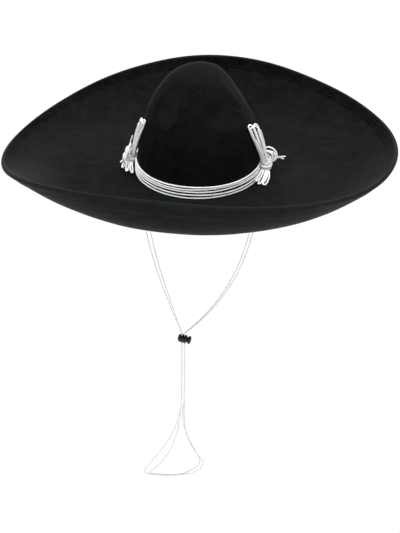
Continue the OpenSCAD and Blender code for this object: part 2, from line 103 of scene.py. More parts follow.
class Mesh:
    """Collects the closed shapes of one piece, then makes its object."""

    def __init__(self):
        self.points = []
        self.faces = []
        self.count = 0

    def add(self, points, faces):
        """Adds a closed shape; faces is a list of index arrays, (m, 3) or (m, 4)."""
        self.points.append(points)
        self.faces += [f + self.count for f in outward(points, faces)]
        self.count += len(points)

    def object(self, name, material):
        """The shapes as one smooth-shaded object."""
        points = np.concatenate(self.points)
        loops = np.concatenate([f.ravel() for f in self.faces])
        sizes = np.concatenate([np.full(len(f), f.shape[1]) for f in self.faces])
        starts = np.concatenate([[0], np.cumsum(sizes)[:-1]])
        mesh = bpy.data.meshes.new(name)
        mesh.vertices.add(len(points))
        mesh.vertices.foreach_set("co", points.astype(np.float32).ravel())
        mesh.loops.add(len(loops))
        mesh.loops.foreach_set("vertex_index", loops.astype(np.int32))
        mesh.polygons.add(len(sizes))
        mesh.polygons.foreach_set("loop_start", starts.astype(np.int32))
        mesh.polygons.foreach_set("use_smooth", np.full(len(sizes), True))
        mesh.update(calc_edges=True)
        mesh.validate()
        mesh.materials.append(material)
        return linked_object(name, mesh)

    def piece(self, name, material, slot, node, body="hat"):
        """The shapes as a piece that stands for a node."""
        return finish_piece(self.object(name, material), node, body)


def ring_piece(sections, name, material, slot, node):
    """A piece of the hat that is one closed ring."""
    mesh = Mesh()
    add_ring(mesh, sections)
    return mesh.piece(name, material, slot, node)


def linked_object(name, data):
    """A new object in the scene."""
    obj = bpy.data.objects.new(name, data)
    bpy.context.scene.collection.objects.link(obj)
    return obj


def finish_piece(piece, node, body="hat"):
    """Makes a piece ride on a body and stand for a node, hiding the node's part."""
    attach(piece, body)
    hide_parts(node)
    return piece


def unit(v):
    return v / np.linalg.norm(v, axis=-1, keepdims=True)


def around(count):
    """Angles all the way round, without the last one."""
    return np.linspace(-math.pi, math.pi, count, endpoint=False)


def grid_faces(rows, cols, closed=False):
    """Quads between rings of points that are stored one after another."""
    i, k = np.meshgrid(np.arange(rows if closed else rows - 1), np.arange(cols), indexing="ij")
    j, n = (i + 1) % rows, (k + 1) % cols
    quads = np.stack([i * cols + k, j * cols + k, j * cols + n, i * cols + n], -1)
    return quads.reshape(-1, 4)


def fan(apex, ring):
    """Triangles between an apex and a closed ring of points."""
    return np.stack([np.full_like(ring, apex), ring, np.roll(ring, -1)], -1)


def outward(points, faces):
    """Turns the faces of a closed shape round if they face inwards."""
    volume = 0.0
    for f in faces:
        corners = points[f]
        for second in range(1, f.shape[1] - 1):
            a, b, c = corners[:, 0], corners[:, second], corners[:, second + 1]
            volume += np.einsum("ij,ij->i", a, np.cross(b, c)).sum()
    return [f[:, ::-1] for f in faces] if volume < 0 else faces


def add_ring(mesh, sections):
    """A closed ring through a closed row of closed sections (n, m, 3)."""
    n, m = sections.shape[:2]
    mesh.add(sections.reshape(-1, 3), [grid_faces(n, m, closed=True)])


def add_tube(mesh, sections):
    """A tube through open rows of closed sections, with a fan at each end."""
    n, m = sections.shape[:2]
    points = np.concatenate([sections.reshape(-1, 3), sections[[0, -1]].mean(1)])
    first = np.arange(m)
    last = (n - 1) * m + first
    mesh.add(points, [grid_faces(n, m), fan(n * m, first), fan(n * m + 1, last)[:, ::-1]])


def add_dome(mesh, outer, inner, rise=0.0):
    """A closed shell between outer and inner rows of rings; each ends at an apex that is
    rise above its last ring."""
    m = outer.shape[1]
    first_inner = len(outer) * m
    apex = first_inner + len(inner) * m
    apexes = [rows[-1].mean(0) + [0, 0, rise] for rows in (outer, inner)]
    points = np.concatenate([outer.reshape(-1, 3), inner.reshape(-1, 3), apexes])
    foot = np.arange(m)
    after = np.roll(foot, -1)
    mesh.add(points, [
        grid_faces(len(outer), m),
        grid_faces(len(inner), m)[:, ::-1] + first_inner,
        np.stack([after, after + first_inner, foot + first_inner, foot], -1),
        fan(apex, first_inner - m + foot)[:, ::-1],
        fan(apex + 1, apex - m + foot),
    ])


# ---------- paths and ropes ----------


def bezier(p0, p1, p2, p3, n):
    """n points along a cubic curve, without its last one."""
    t = np.arange(n)[:, None] / n
    p0, p1, p2, p3 = np.array([p0, p1, p2, p3], float)
    return ((1 - t) ** 3 * p0 + 3 * t * (1 - t) ** 2 * p1
            + 3 * t * t * (1 - t) * p2 + t ** 3 * p3)


def spline(points, n=24, closed=False):
    """A smooth curve through the points, n steps between each two of them."""
    p = np.asarray(points, float)
    if closed:
        p = np.concatenate([p[-1:], p, p[:2]])
    else:
        p = np.concatenate([2 * p[:1] - p[1:2], p, 2 * p[-1:] - p[-2:-1]])
    t = np.arange(n)[:, None] / n
    out = []
    for i in range(1, len(p) - 2):
        a, b, c, d = p[i - 1], p[i], p[i + 1], p[i + 2]
        out.append(0.5 * (2 * b + (c - a) * t + (2 * a - 5 * b + 4 * c - d) * t ** 2
                          + (3 * b - a - 3 * c + d) * t ** 3))
    if not closed:
        out.append(p[-2:-1])
    return np.concatenate(out)


def resample(path, step, closed):
    """The path as points about one step apart along it, and its length."""
    whole = np.concatenate([path, path[:1]]) if closed else path
    along = np.concatenate([[0], np.cumsum(np.linalg.norm(np.diff(whole, axis=0), axis=1))])
    n = max(3, int(round(along[-1] / step)))
    at = np.linspace(0, along[-1], n + 1)
    if closed:
        at = at[:-1]
    return np.stack([np.interp(at, along, whole[:, k]) for k in range(3)], -1), along[-1]


def path_frames(path, closed=False):
    """Directions across a path that turn as little as they can, and what is left over
    when a closed path comes round."""
    if closed:
        along = unit(np.roll(path, -1, 0) - np.roll(path, 1, 0))
    else:
        along = unit(np.gradient(path, axis=0))
    across = np.zeros_like(along)
    across[0] = unit(np.cross(along[0], [0.31, 0.17, 0.93]))
    for i in range(1, len(path)):
        across[i] = unit(across[i - 1] - along[i] * (across[i - 1] @ along[i]))
    other = np.cross(along, across)
    v = across[-1] - along[0] * (across[-1] @ along[0])
    leftover = math.atan2(v @ other[0], v @ across[0]) if closed else 0.0
    return across, other, leftover


def sections_round(path, across, other, radius, angle):
    """Sections round a path, from the radius and angle of their corners."""
    return (path[:, None, :] + (radius * np.cos(angle))[..., None] * across[:, None, :]
            + (radius * np.sin(angle))[..., None] * other[:, None, :])


def circle(sides):
    return np.arange(sides) * TAU / sides


def lobed_profile(per_ply):
    """Angles and radii, as shares, of the outline of round strands laid together."""
    half = math.pi / PLIES
    strand = 1 / (1 + 1 / math.sin(half))
    middle = 1 - strand
    phi = np.linspace(-half, half, per_ply, endpoint=False)
    radius = middle * np.cos(phi) + np.sqrt(
        np.maximum(strand ** 2 - (middle * np.sin(phi)) ** 2, (0.12 * strand) ** 2))
    angles = np.concatenate([phi + 2 * half * i for i in range(PLIES)])
    return angles, np.tile(radius, PLIES)


def add_rope(mesh, path, radius, pitch, closed=False, per_ply=4, steps=11, taper=0.0):
    """A laid rope along a path. Its grooves run along the mesh's own edges, and its end
    is rounded over the length of the taper."""
    path, length = resample(path, pitch / steps, closed)
    across, other, leftover = path_frames(path, closed)
    n = len(path)
    turns = round(length / pitch) if closed else length / pitch
    share = np.arange(n) / (n if closed else n - 1)
    twist = TAU * turns * share - leftover * share
    angles, radii = lobed_profile(per_ply)
    size = np.full(n, radius)
    if taper:
        from_end = np.clip((1 - share) * length / taper, 0, 1)
        size *= np.sqrt(np.clip(1 - (1 - from_end) ** 2, 0.06, 1))
    sections = sections_round(path, across, other, radii * size[:, None],
                              angles + twist[:, None])
    if closed:
        add_ring(mesh, sections)
    else:
        add_tube(mesh, sections)


# ---------- brim surface ----------


def rim_height(a):
    """Height of the rim above the flat of the brim, at angle a from the right side."""
    return MM * (48 - 21 * np.cos(2 * a) - 15.5 * np.sin(a) + 9 * np.cos(a)
                 + 4.5 * np.cos(3 * a) + 2.6 * np.sin(2 * a)
                 - 1.8 * np.sin(3 * a) + 1.4 * np.cos(4 * a))


def hand_waver(a, t):
    """Small unevenness of a rim shaped by hand and steam."""
    return 0.45 * MM * t ** 2 * (np.sin(5 * a + 0.7) + 0.6 * np.sin(8 * a + 2.1)
                                 + 0.4 * np.sin(13 * a + 4.0))


def brim_frame(a, t):
    """Point on the brim's upper face, its normal and its outward direction."""
    a, t = np.broadcast_arrays(np.asarray(a, float), np.asarray(t, float))
    run = np.stack([(BRIM_W - CROWN_W) * np.cos(a), (BRIM_L - CROWN_L) * np.sin(a)], -1)
    share = np.maximum(0, (t - FLAT_SHARE) / (1 - FLAT_SHARE))
    height = rim_height(a)
    length = np.linalg.norm(run, axis=-1)
    slope = height * CURL * share ** (CURL - 1) / (1 - FLAT_SHARE) / length
    outward_dir = np.concatenate([run / length[..., None], np.zeros_like(run[..., :1])], -1)
    normal = unit(-slope[..., None] * outward_dir + UP)
    along = unit(outward_dir + slope[..., None] * UP)
    point = np.stack([CROWN_W * np.cos(a) + t * run[..., 0],
                      CROWN_L * np.sin(a) + t * run[..., 1],
                      height * share ** CURL + hand_waver(a, t)], -1)
    return point, normal, along


def brim_point(a, t, depth=0.0, beyond=0.0):
    """Point of the brim at a depth below its upper face and a distance beyond share t."""
    point, normal, along = brim_frame(a, t)
    return (point - np.asarray(depth)[..., None] * normal
            + np.asarray(beyond)[..., None] * along)


def felt_dents(a, t):
    """Shallow dents left in the felt by blocking, zero at both edges of the brim."""
    dents = (np.sin(7 * a + 9 * t + 0.4) * np.sin(5 * a - 11 * t + 1.9)
             + 0.5 * np.sin(17 * a + 23 * t) * np.sin(13 * a - 19 * t + 0.8))
    return 0.22 * MM * dents * np.sin(math.pi * np.clip(t, 0, 1)) ** 0.5


def brim_layer(name, node, depth0, depth1, material, slot, rows=44):
    """One layer of the brim between two depths, with softly rounded edges."""
    reach = 0.9985
    t = OPENING_SHARE + (reach - OPENING_SHARE) * np.linspace(0, 1, rows) ** 0.8
    edge = 0.35 * (depth1 - depth0) / (BRIM_W - CROWN_W)
    shares = np.concatenate([t[:1], t[:1] + edge, t[1:-1], t[-1:] - edge, t[-1:]])
    depths = np.full(len(shares), depth0)
    depths[[0, -1]] = depth0 + 0.15 * (depth1 - depth0)
    section_t = np.concatenate([shares, shares[::-1]])
    section_d = np.concatenate([depths, (depth0 + depth1) - depths[::-1]])
    grid_a, grid_t = np.meshgrid(around(300), section_t, indexing="ij")
    sections = brim_point(grid_a, grid_t, section_d + felt_dents(grid_a, grid_t))
    # The painted highlight beside the left tip is stored on each layer for the felt material.
    mark_painted_light(ring_piece(sections, name, material, slot, node), left_tip_painted_highlight(sections))


def left_tip_painted_highlight(points):
    """A painted highlight in a soft stripe beside the brim's left tip."""
    x, y = points.reshape(-1, 3).T[:2] / MM
    return 2.4 * np.exp(-((x + 232) / 30) ** 2 - ((y + 105) / 95) ** 2)


def mark_painted_light(piece, shares):
    """Stores the painted light at each vertex, lighter above 0 and painted shade below, for the
    felt material to read.
    """
    painted_light = piece.data.attributes.new("painted_light", "FLOAT", "POINT")
    painted_light.data.foreach_set("value", np.asarray(shares, np.float32))


# ---------- crown surface ----------


def hollow(du, dv, crease):
    """A hollow, 1 at its middle and 0 at its edge; a low crease gives a crisp edge."""
    return np.maximum(0, 1 - du * du - dv * dv) ** crease


def left_hollow(a, h):
    """The pinch on the front left: how far in, as a share, at angle a and height h."""
    deg = np.degrees(a)
    mm = h / MM
    left_u = (deg + 128) / np.where(deg > -128, 16, 24)
    left_v = (mm - 111) / np.where(mm > 111, 34, 23)
    crisp = 0.5 + 0.5 * (left_u - 0.6 * left_v) / np.sqrt(left_u ** 2 + left_v ** 2 + 1e-6)
    return hollow(left_u, left_v, 1.6 - 0.95 * np.clip(crisp, 0, 1))


def crown_pinch(a, h):
    """Depth of the pinches in the crown at angle a and height h."""
    deg = np.degrees(a)
    mm = h / MM
    left = 9.0 * left_hollow(a, h)
    right = 5.0 * hollow((deg + 38) / 27, (mm - 106) / np.where(mm > 106, 40, 19), 1.3)
    fold = 1.2 * hollow((deg + 18 + 0.9 * (mm - 110)) / 7, (mm - 110) / 13, 1.2)
    side = 8.5 * hollow((deg - 5) / 60, (mm - 126.5) / 55, 1.6)
    return MM * (left + right + fold + side)


def crown_unevenness(a, h):
    """Gentle hand-blocked unevenness, fading out at the foot and at the very top."""
    soft = (np.sin(3 * a + h / (21 * MM)) * np.sin(2 * a - h / (34 * MM) + 1)
            + 0.5 * np.sin(7 * a + h / (13 * MM) + 2) * np.sin(5 * a - h / (17 * MM)))
    fade = np.clip(h / (40 * MM), 0, 1) * np.clip((CROWN_H - h) / (45 * MM), 0, 1)
    return 0.7 * MM * soft * fade


def crown_point(a, latitude, depth=0.0):
    """Point on the crown at angle a and latitude, at a depth inside its outer face."""
    h = CROWN_H * np.sin(latitude) ** (2 / CROWN_RISE)
    share = np.cos(latitude) ** (2 / CROWN_ROUND)
    p = oval(CROWN_W * share, CROWN_L * share, h, a)
    n = unit(p / np.array([CROWN_W ** 2, CROWN_L ** 2, CROWN_H ** 2]))
    top_fade = np.clip((CROWN_H - h) / (9 * MM), 0, 1)
    inward = depth + crown_pinch(a, h) * top_fade + crown_unevenness(a, h)
    return p - np.asarray(inward)[..., None] * n


def crown_share(h):
    """Width of the crown at height h, as a share of its base."""
    return (1 - np.clip(h / CROWN_H, 0, 1) ** CROWN_RISE) ** (1 / CROWN_ROUND)


def oval(half_w, half_l, z, a):
    """Points at angles a of an oval round the middle of the hat, at height z."""
    return np.stack([half_w * np.cos(a), half_l * np.sin(a), np.full_like(a, z)], -1)


def build_crown(material):
    """The pinched felt crown, from its foot in the brim to its apex."""
    a = around(240)
    foot = crown_box[0].z
    rounding = 0.5 * MM

    def face(depth, rows):
        walls = [oval(CROWN_W - depth, CROWN_L - depth, z, a)
                 for z in (foot, foot + rounding, foot + 2.5 * MM)]
        latitudes = np.radians(np.linspace(0, 1, rows) ** 0.92 * 88.6)
        return np.array(walls + [crown_point(a, np.full_like(a, f), depth) for f in latitudes])

    outer = face(0.0, 120)
    outer[0] = oval(CROWN_W - rounding, CROWN_L - rounding, foot, a)
    inner = face(CROWN_T, 72)
    inner[0] = oval(CROWN_W - CROWN_T + rounding, CROWN_L - CROWN_T + rounding, foot, a)
    mesh = Mesh()
    add_dome(mesh, outer, inner, rise=0.02 * MM)
    # Painted highlights in the pinches, stored for the felt material.
    paint_hollow_highlights(mesh.piece("crown_felt", material, "crown_felt", "crown"))


def paint_hollow_highlights(piece):
    """Paints highlights into the crown's pinches, for the felt material to show as lighter felt
    there.
    """
    points = np.empty(len(piece.data.vertices) * 3, np.float32)
    piece.data.vertices.foreach_get("co", points)
    x, y, h = points.reshape(-1, 3).T
    a = np.arctan2(y / CROWN_L, x / CROWN_W)
    deg = np.degrees(a)
    left = np.clip(left_hollow(a, h) * 1.6, 0, 1)
    right = hollow((deg + 56) / 22, (h / MM - 103) / 15, 1.0)
    mark_painted_light(piece, np.maximum(1.4 * left, 1.3 * right))


def build_lining(material):
    """Satin lining, gathered in soft folds that run up the crown."""
    a = around(360)
    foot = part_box("crown_lining")[0].z
    thickness = 0.6 * MM
    clearance = 0.6 * MM

    def folds(latitude):
        fold_share = np.sin(np.clip(latitude / math.radians(70), 0, 1) * math.pi) ** 0.7
        wave = (np.sin(31 * a + 0.8 * np.sin(3 * a)) + 0.6 * np.sin(47 * a + 1.3)
                + 0.5 * np.sin(13 * a + 2.2 * latitude))
        return 0.55 * MM * fold_share * (1.4 + 0.66 * wave)

    def face(depth):
        share = crown_share(foot)
        rows = [oval(CROWN_W * share - depth, CROWN_L * share - depth, foot, a)]
        for f in np.radians(np.linspace(12, 88.4, 70)):
            rows.append(crown_point(a, np.full_like(a, f), depth + folds(f)))
        return np.array(rows)

    mesh = Mesh()
    add_dome(mesh, face(CROWN_T + clearance), face(CROWN_T + clearance + thickness))
    mesh.piece("satin_lining", material, "lining", "crown_lining")


# ---------- rim ----------


def rim_length():
    a = np.linspace(-math.pi, math.pi, 2000)
    return np.linalg.norm(np.diff(brim_point(a, np.ones_like(a)), axis=0), axis=1).sum()


STITCHES = int(round(rim_length() / STITCH_PITCH))


def upper_leaf(t):
    """Thickness of the binding's upper leaf as a share, thinned towards its inner edge."""
    return min(1.0, 0.10 + (t - BINDING_SHARE) / 0.03)


def lower_leaf(t):
    """The same for the leaf under the brim, skived so that its edge doesn't show."""
    return 0.05 + 0.95 * (t - BINDING_SHARE) / (1 - BINDING_SHARE)


def build_binding(material):
    """Felt strip folded over the wire and the brim's edge, puckered at each stitch."""
    per_stitch = 4
    columns = STITCHES * per_stitch
    a = around(columns)
    hole = (np.arange(columns) % per_stitch == 0).astype(float)
    half = BRIM_T / 2
    reach = 2 * WIRE_R + 0.6 * MM
    leaf = [1.0, 0.985, 0.97, 0.962, 0.957, 0.955, 0.953, 0.949, 0.945, 0.942, 0.94]
    inside = [1.0, 0.97, 0.94]

    def roll(first_deg, last_deg, count, thickness):
        """Round the brim's edge; 90 degrees is above it and -90 below."""
        for angle in np.radians(np.linspace(first_deg, last_deg, count)):
            out = (reach + thickness) * math.cos(angle)
            yield 1.0, out, half - (half + GAP + thickness) * math.sin(angle), 0.0

    # Each point: share of the brim, distance beyond it, depth, and where it puckers
    outline = [(t, 0.0, -GAP - BINDING_T * upper_leaf(t), t) for t in leaf[::-1]]
    outline += roll(80, -80, 9, BINDING_T)
    outline += [(t, 0.0, BRIM_T + GAP + BINDING_T * lower_leaf(t), t) for t in leaf]
    outline += [(t, 0.0, BRIM_T + GAP, 0.0) for t in inside[::-1]]
    outline += roll(-72, 72, 7, 0.0)
    outline += [(t, 0.0, -GAP, 0.0) for t in inside]

    sections = []
    for share, beyond, depth, pucker_at in outline:
        upper = depth < half
        pull = 0.18 * MM * math.exp(-((pucker_at - STITCH_SHARE) / 0.0045) ** 2)
        inward = hole * (pull * (1.0 if upper else 0.3) + (0.08 * MM if pucker_at else 0.0))
        sections.append(brim_point(a, share, depth + inward * (1 if upper else -1), beyond))
    sections = np.stack(sections, 1)
    # Painted light on the binding, stored for the felt material: a painted highlight along the
    # rolled edge, painted shade on the upper leaf and none on the leaf under the brim; the
    # painted highlight at the left tip is added on top.
    rolled, under, upper = 1.9, 0.0, -0.8
    binding_painted_light = [rolled if beyond > 0 else under if depth > half else upper
            for _, beyond, depth, _ in outline]
    strip = ring_piece(sections, "felt_binding", material, "binding", "rim_binding")
    mark_painted_light(strip, np.tile(binding_painted_light, columns) + left_tip_painted_highlight(sections))


def add_stitch(mesh, start, end, up, rise):
    """One stitch: a short thread that dips into the cloth at both ends."""
    share = np.linspace(0, 1, 6)
    arch = np.sin(share * math.pi) ** 0.6
    centre = start + (end - start) * share[:, None]
    centre += up * ((rise + THREAD_R) * arch - THREAD_R)[:, None]
    along = unit(np.gradient(centre, axis=0))
    side = unit(np.cross(along, up))
    size = THREAD_R * (0.6 + 0.4 * arch)
    add_tube(mesh, sections_round(centre, side, np.cross(side, along), size[:, None], circle(6)))


def build_rim_stitching(material):
    """Two rounds of stitches that hold the binding, above and below the brim."""
    mesh = Mesh()
    a = np.linspace(-math.pi, math.pi, STITCHES + 1)
    inset = 0.07 * (a[1] - a[0])
    above = GAP + (upper_leaf(STITCH_SHARE) - 0.1) * BINDING_T
    below = GAP + lower_leaf(STITCH_SHARE) * BINDING_T
    for depth, sign in ((-above, 1), (BRIM_T + below, -1)):
        starts, normal, _ = brim_frame(a[:-1] + inset, STITCH_SHARE)
        ends, _, _ = brim_frame(a[1:] - inset, STITCH_SHARE)
        for start, end, up in zip(starts, ends, normal):
            add_stitch(mesh, start - depth * up, end - depth * up, sign * up, 0.3 * MM)
    mesh.piece("rim_stitches", material, "dark_thread", "rim_stitching")


def build_wire(material):
    centre, normal, along = brim_frame(around(480), 1.0)
    centre = centre - BRIM_T / 2 * normal + (WIRE_R + 0.3 * MM) * along
    ring_piece(sections_round(centre, along, normal, WIRE_R, circle(12)), "shaping_wire",
               material, "wire", "rim_wire")


# ---------- sweatband ----------


def build_sweatband(material):
    """Ribbed ribbon with a rolled foot and a slight lean inwards at its top."""
    low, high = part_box("sweatband")
    rib_pitch = 1.7 * MM
    rib_shape = 0.13 * MM * np.array([0.0, 0.7, 1.0, 0.7])
    ribs = int(round(math.pi * (high.x + high.y) / rib_pitch))
    a = around(ribs * len(rib_shape))
    rib = np.tile(rib_shape, ribs)
    waver = 0.25 * MM * (np.sin(6 * a + 0.5) + 0.7 * np.sin(11 * a + 2))
    rows = np.linspace(0.04, 0.97, 13)
    # Each point: inset, share of the height, and how much of a rib stands outwards
    outline = [(0.15 * MM + 0.35 * MM * share ** 2, share, 0.4) for share in rows]
    outline += [(0.55 * SWEATBAND_T, 0.993, 0.0)]
    outline += [(SWEATBAND_T - 0.25 * MM + 0.35 * MM * share ** 2, share, -1.0)
                for share in rows[::-1]]
    outline += [(0.55 * SWEATBAND_T, 0.006, 0.0)]
    sections = []
    for inset, share, rib_share in outline:
        lean = share ** 3 * (0.4 * MM + waver)
        d = np.maximum(inset + lean * 0.5 - rib * rib_share, 0.02 * MM)
        sag = 0.12 * MM * (1 - np.sin(9 * a)) * (share > 0.9)
        z = low.z + (high.z - low.z) * share - sag
        sections.append(oval(high.x - d, high.y - d, z, a))
    ring_piece(np.stack(sections, 1), "ribbed_sweatband", material, "sweatband", "sweatband")


def build_oval_stitching(name, node, half_w, half_l, z, up_of, pitch, material):
    """A round of stitches on an oval at height z; up_of(a) is away from the cloth."""
    mesh = Mesh()
    count = int(round(math.pi * (half_w + half_l) / pitch))
    a = np.linspace(-math.pi, math.pi, count + 1)
    step = a[1] - a[0]
    inset = 0.08 * step
    starts = oval(half_w, half_l, z, a[:-1] + inset)
    ends = oval(half_w, half_l, z, a[1:] - inset)
    for start, end, middle in zip(starts, ends, a[:-1] + step / 2):
        add_stitch(mesh, start, end, up_of(middle), 0.28 * MM)
    mesh.piece(name, material, "dark_thread", node)


# ---------- cord trim ----------


def trim_point(side, s, h, out):
    """Beside the crown: s round it towards the front, h up, out from its face, in mm."""
    s, h, out = s * MM, h * MM, out * MM
    turn = s / CROWN_L
    a = -turn if side > 0 else math.pi + turn
    share = crown_share(h)
    return oval(CROWN_W * share + out, CROWN_L * share + out, h, a)


def trim_piece(word, trim, look, node, paths, thickness, material, taper=0.0):
    """A piece of the trim on one side: cords along smooth paths through trim points."""
    mesh = Mesh()
    for points in paths:
        path = spline([trim_point(trim["side"], *p) for p in points])
        add_rope(mesh, path, TRIM_R * thickness, TRIM_PITCH, taper=taper)
    mesh.piece(f"{word}_{look}", material, "white_cord", f"{word}_{node}")


def build_hatband(material):
    """Five turns of cord: the upper three lie close together, the lower two looser."""
    mesh = Mesh()
    a = around(720)
    front = np.clip(-np.sin(a), 0, 1) ** 1.5
    front_heights = [2.2, 6.8, 11.6, 14.7, 17.8]
    side_heights = [2.2, 6.0, 10.2, 13.9, 17.9]
    out = TRIM_R + 0.15 * MM
    for i, (at_front, at_side) in enumerate(zip(front_heights, side_heights)):
        slack = 0.35 * np.sin(3 * a + 1.7 * i) + 0.25 * np.sin(5 * a + 2.3 * i)
        z = MM * (at_side + (at_front - at_side) * front + slack)
        z = np.maximum(z, 1.05 * TRIM_R)
        share = crown_share(z)
        path = oval(CROWN_W * share + out, CROWN_L * share + out, z, a)
        add_rope(mesh, path, TRIM_R, TRIM_PITCH, closed=True)
    mesh.piece("cord_hatband", material, "white_cord", "hatband_cord")


# Front and rear edge of the standing bundle, each from its foot to its top, and the
# bundle's width as a share of its height
BUNDLE_FRONT = np.array([(25.0, 30.0, 4.5), (42.0, 85.0, 2.6)])
BUNDLE_REAR = np.array([(7.0, 27.0, 10.0), (17.0, 81.0, 7.2)])
BUNDLE_ASPECT = 24.0 / 52.0


def bundle_point(across, up, lift, tall, depth):
    """In the standing bundle: across from front to rear edge, up from foot to top."""
    narrowing = 0.6 + 0.4 * min(max(up, 0) / 0.6, 1)
    across = 0.5 + (across - 0.5) * narrowing
    front, rear = (edge[0] + (edge[1] - edge[0]) * up * tall
                   for edge in (BUNDLE_FRONT, BUNDLE_REAR))
    point = front + (rear - front) * across + [0, 0, lift]
    point[2] = 2.4 + (point[2] - 2.4) * depth
    return point


def standing_path(front, rear, top, lift, tall, depth):
    """A loop of the bundle: up at front, over in a round bend, down at rear."""
    middle, half = (front + rear) / 2, (rear - front) / 2
    bend = half * BUNDLE_ASPECT
    rise = [-0.14, 0.15, 0.4, 0.62 * top, top - bend]
    points = [(front, up) for up in rise]
    for b in np.radians([135, 90, 45]):
        points.append((middle + half * math.cos(b), top - bend + bend * math.sin(b)))
    points += [(rear, up) for up in rise[::-1]]
    return [bundle_point(across, up, lift, tall, depth) for across, up in points]


def build_standing_loops(word, trim, material):
    """Loops of cord that lie against the crown beside each other, open at the top."""
    # Each loop: front and rear edge, top and lift
    loops = [(0.0, 0.44, 1.02, 0.3), (0.56, 1.0, 1.0, 0.0), (0.30, 0.74, 0.97, 2.4),
             (0.66, 0.92, 0.84, 2.6), (0.07, 0.36, 0.95, 1.5), (0.15, 0.28, 0.56, 0.8)]
    paths = [standing_path(*loop, trim["tall"], trim["depth"]) for loop in loops]
    trim_piece(word, trim, "standing_cords", "standing_loops", paths, 1.0, material)


def circle_path(middle, radius, start_deg, end_deg, drift, turn_deg):
    """Points on a circle drifting sideways; turn_deg turns it from facing the front
    to facing away from the crown."""
    turn = math.radians(turn_deg)
    points = []
    for share in np.linspace(0, 1, 14):
        b = math.radians(start_deg + (end_deg - start_deg) * share)
        reach = radius * math.cos(b)
        points.append((middle[0] + reach * math.sin(turn) + drift * share * math.cos(turn),
                       middle[1] + radius * math.sin(b),
                       middle[2] + reach * math.cos(turn) + drift * share * math.sin(turn)))
    return points


def build_curl_loops(word, trim, material):
    """Round curls beside the knot: a big one with smaller ones within it."""
    paths = [circle_path(*curl, trim["curl_turn"]) for curl in trim["curls"]]
    trim_piece(word, trim, "curled_cords", "curl_loop", paths, 0.96, material)


def build_knot(word, trim, material):
    """Cord wound round the gathered strands, with crossing turns over the winding."""
    mesh = Mesh()
    centre = np.array(trim_point(trim["side"], 9, KNOT_H / MM, 8.6))
    tilt = math.radians(24)
    axis = np.array([0.0, -math.sin(tilt), math.cos(tilt)])
    other = np.cross(axis, RIGHT)

    def place(half_w, half_d, height, angle):
        return centre + MM * (half_w * math.cos(angle) * RIGHT
                              + half_d * math.sin(angle) * other + height * axis)

    turns = 5.2
    per_turn = 14
    points = []
    for i in range(int(turns * per_turn)):
        share = i / (turns * per_turn)
        angle = TAU * turns * share * trim["side"]
        bulge = 1 - 0.24 * (2 * share - 1) ** 2
        height = (share - 0.5) * 15 + 0.7 * math.sin(3 * angle)
        points.append(place(5.9 * bulge, 7.6 * bulge, height, angle))
    add_rope(mesh, spline(points, 6), TRIM_R * 1.05, TRIM_PITCH)
    for lean, phase, size in ((0.95, 0.4, 1.0), (-0.85, 2.2, 1.0), (0.6, 3.4, 1.16)):
        points = [place(7.4 * size, 8.8 * size, lean * 6.6 * math.sin(angle + phase), angle)
                  for angle in circle(20)]
        add_rope(mesh, spline(points, 8, closed=True), TRIM_R, TRIM_PITCH, closed=True)
    mesh.piece(f"{word}_wrapped_knot", material, "white_cord", f"{word}_knot")


def hanging_path(start, tip, half):
    """A loop from start to its tip and back, half wide to each side."""
    lowest = 1.9
    bow = np.array([0, 2.5, 1.2])
    middle = start + 0.5 * (tip - start) + bow
    near = start + 0.82 * (tip - start) + 0.5 * bow
    halfway = [(start, 0.4), (middle, 0.75), (near, 1.0), (tip + [1.0, 0, 0], 0.7)]
    points = [p - [0, 0, half * share] for p, share in halfway] + [tip + [2.6, 0.2, 0]]
    points += [p + [0, 0, half * share] for p, share in halfway[::-1]]
    return [(s, max(h, lowest), out) for s, h, out in points]


def build_hanging_loops(word, trim, material):
    """Loops that fan forward and down from the knot."""
    paths = [hanging_path(np.array([10.0, 11.0 - 0.6 * i, 5.2 + 2.0 * i]), np.array(tip), half)
             for i, (*tip, half) in enumerate(trim["tips"])]
    trim_piece(word, trim, "hanging_cords", "hanging_loops", paths, 0.96, material)


def build_tails(word, trim, material):
    """The two cut ends of the cord, each along its own path from the knot."""
    trim_piece(word, trim, "cut_ends", "cord_tails", trim["tails"], 0.92, material,
               taper=1.6 * MM)


# ---------- chin cord and its anchors ----------

tab_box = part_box("right_cord_tab")
TAB_X = (tab_box[0].x + tab_box[1].x) / 2
eyelet_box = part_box("right_eyelet")
EYELET_Z = (eyelet_box[0].z + eyelet_box[1].z) / 2
STRAND_OUT = TAB_X + 3.2 * MM
STRAND_IN = TAB_X - 2.6 * MM
PAIR_X = 2.2 * MM
PAIR_Y = 1.0 * MM
LOCK_X = -22 * MM
LOCK_Z = -296.5 * MM
MOUTH_Z = LOCK_Z + 10 * MM
STRAIGHT_END = -413 * MM
LOOP_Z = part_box("chin_cord")[0].z + CORD_R


def hanging_strand(x, knee, hip, to_x, q):
    """From the eyelet at x down to the lock's mouth; knee and hip are x and z in mm."""
    return bezier((x, 0, EYELET_Z), (knee[0] * MM, 0, knee[1] * MM),
                  (hip[0] * MM, q, hip[1] * MM), (to_x, q, MOUTH_Z), 120)


def chained_curves(points):
    """Cubic curves end to end through points in mm: a start, then for each curve its two
    handles and its end."""
    points = np.array(points, float) * MM
    return np.concatenate([bezier(*points[i:i + 4], 50) for i in range(0, len(points) - 1, 3)])


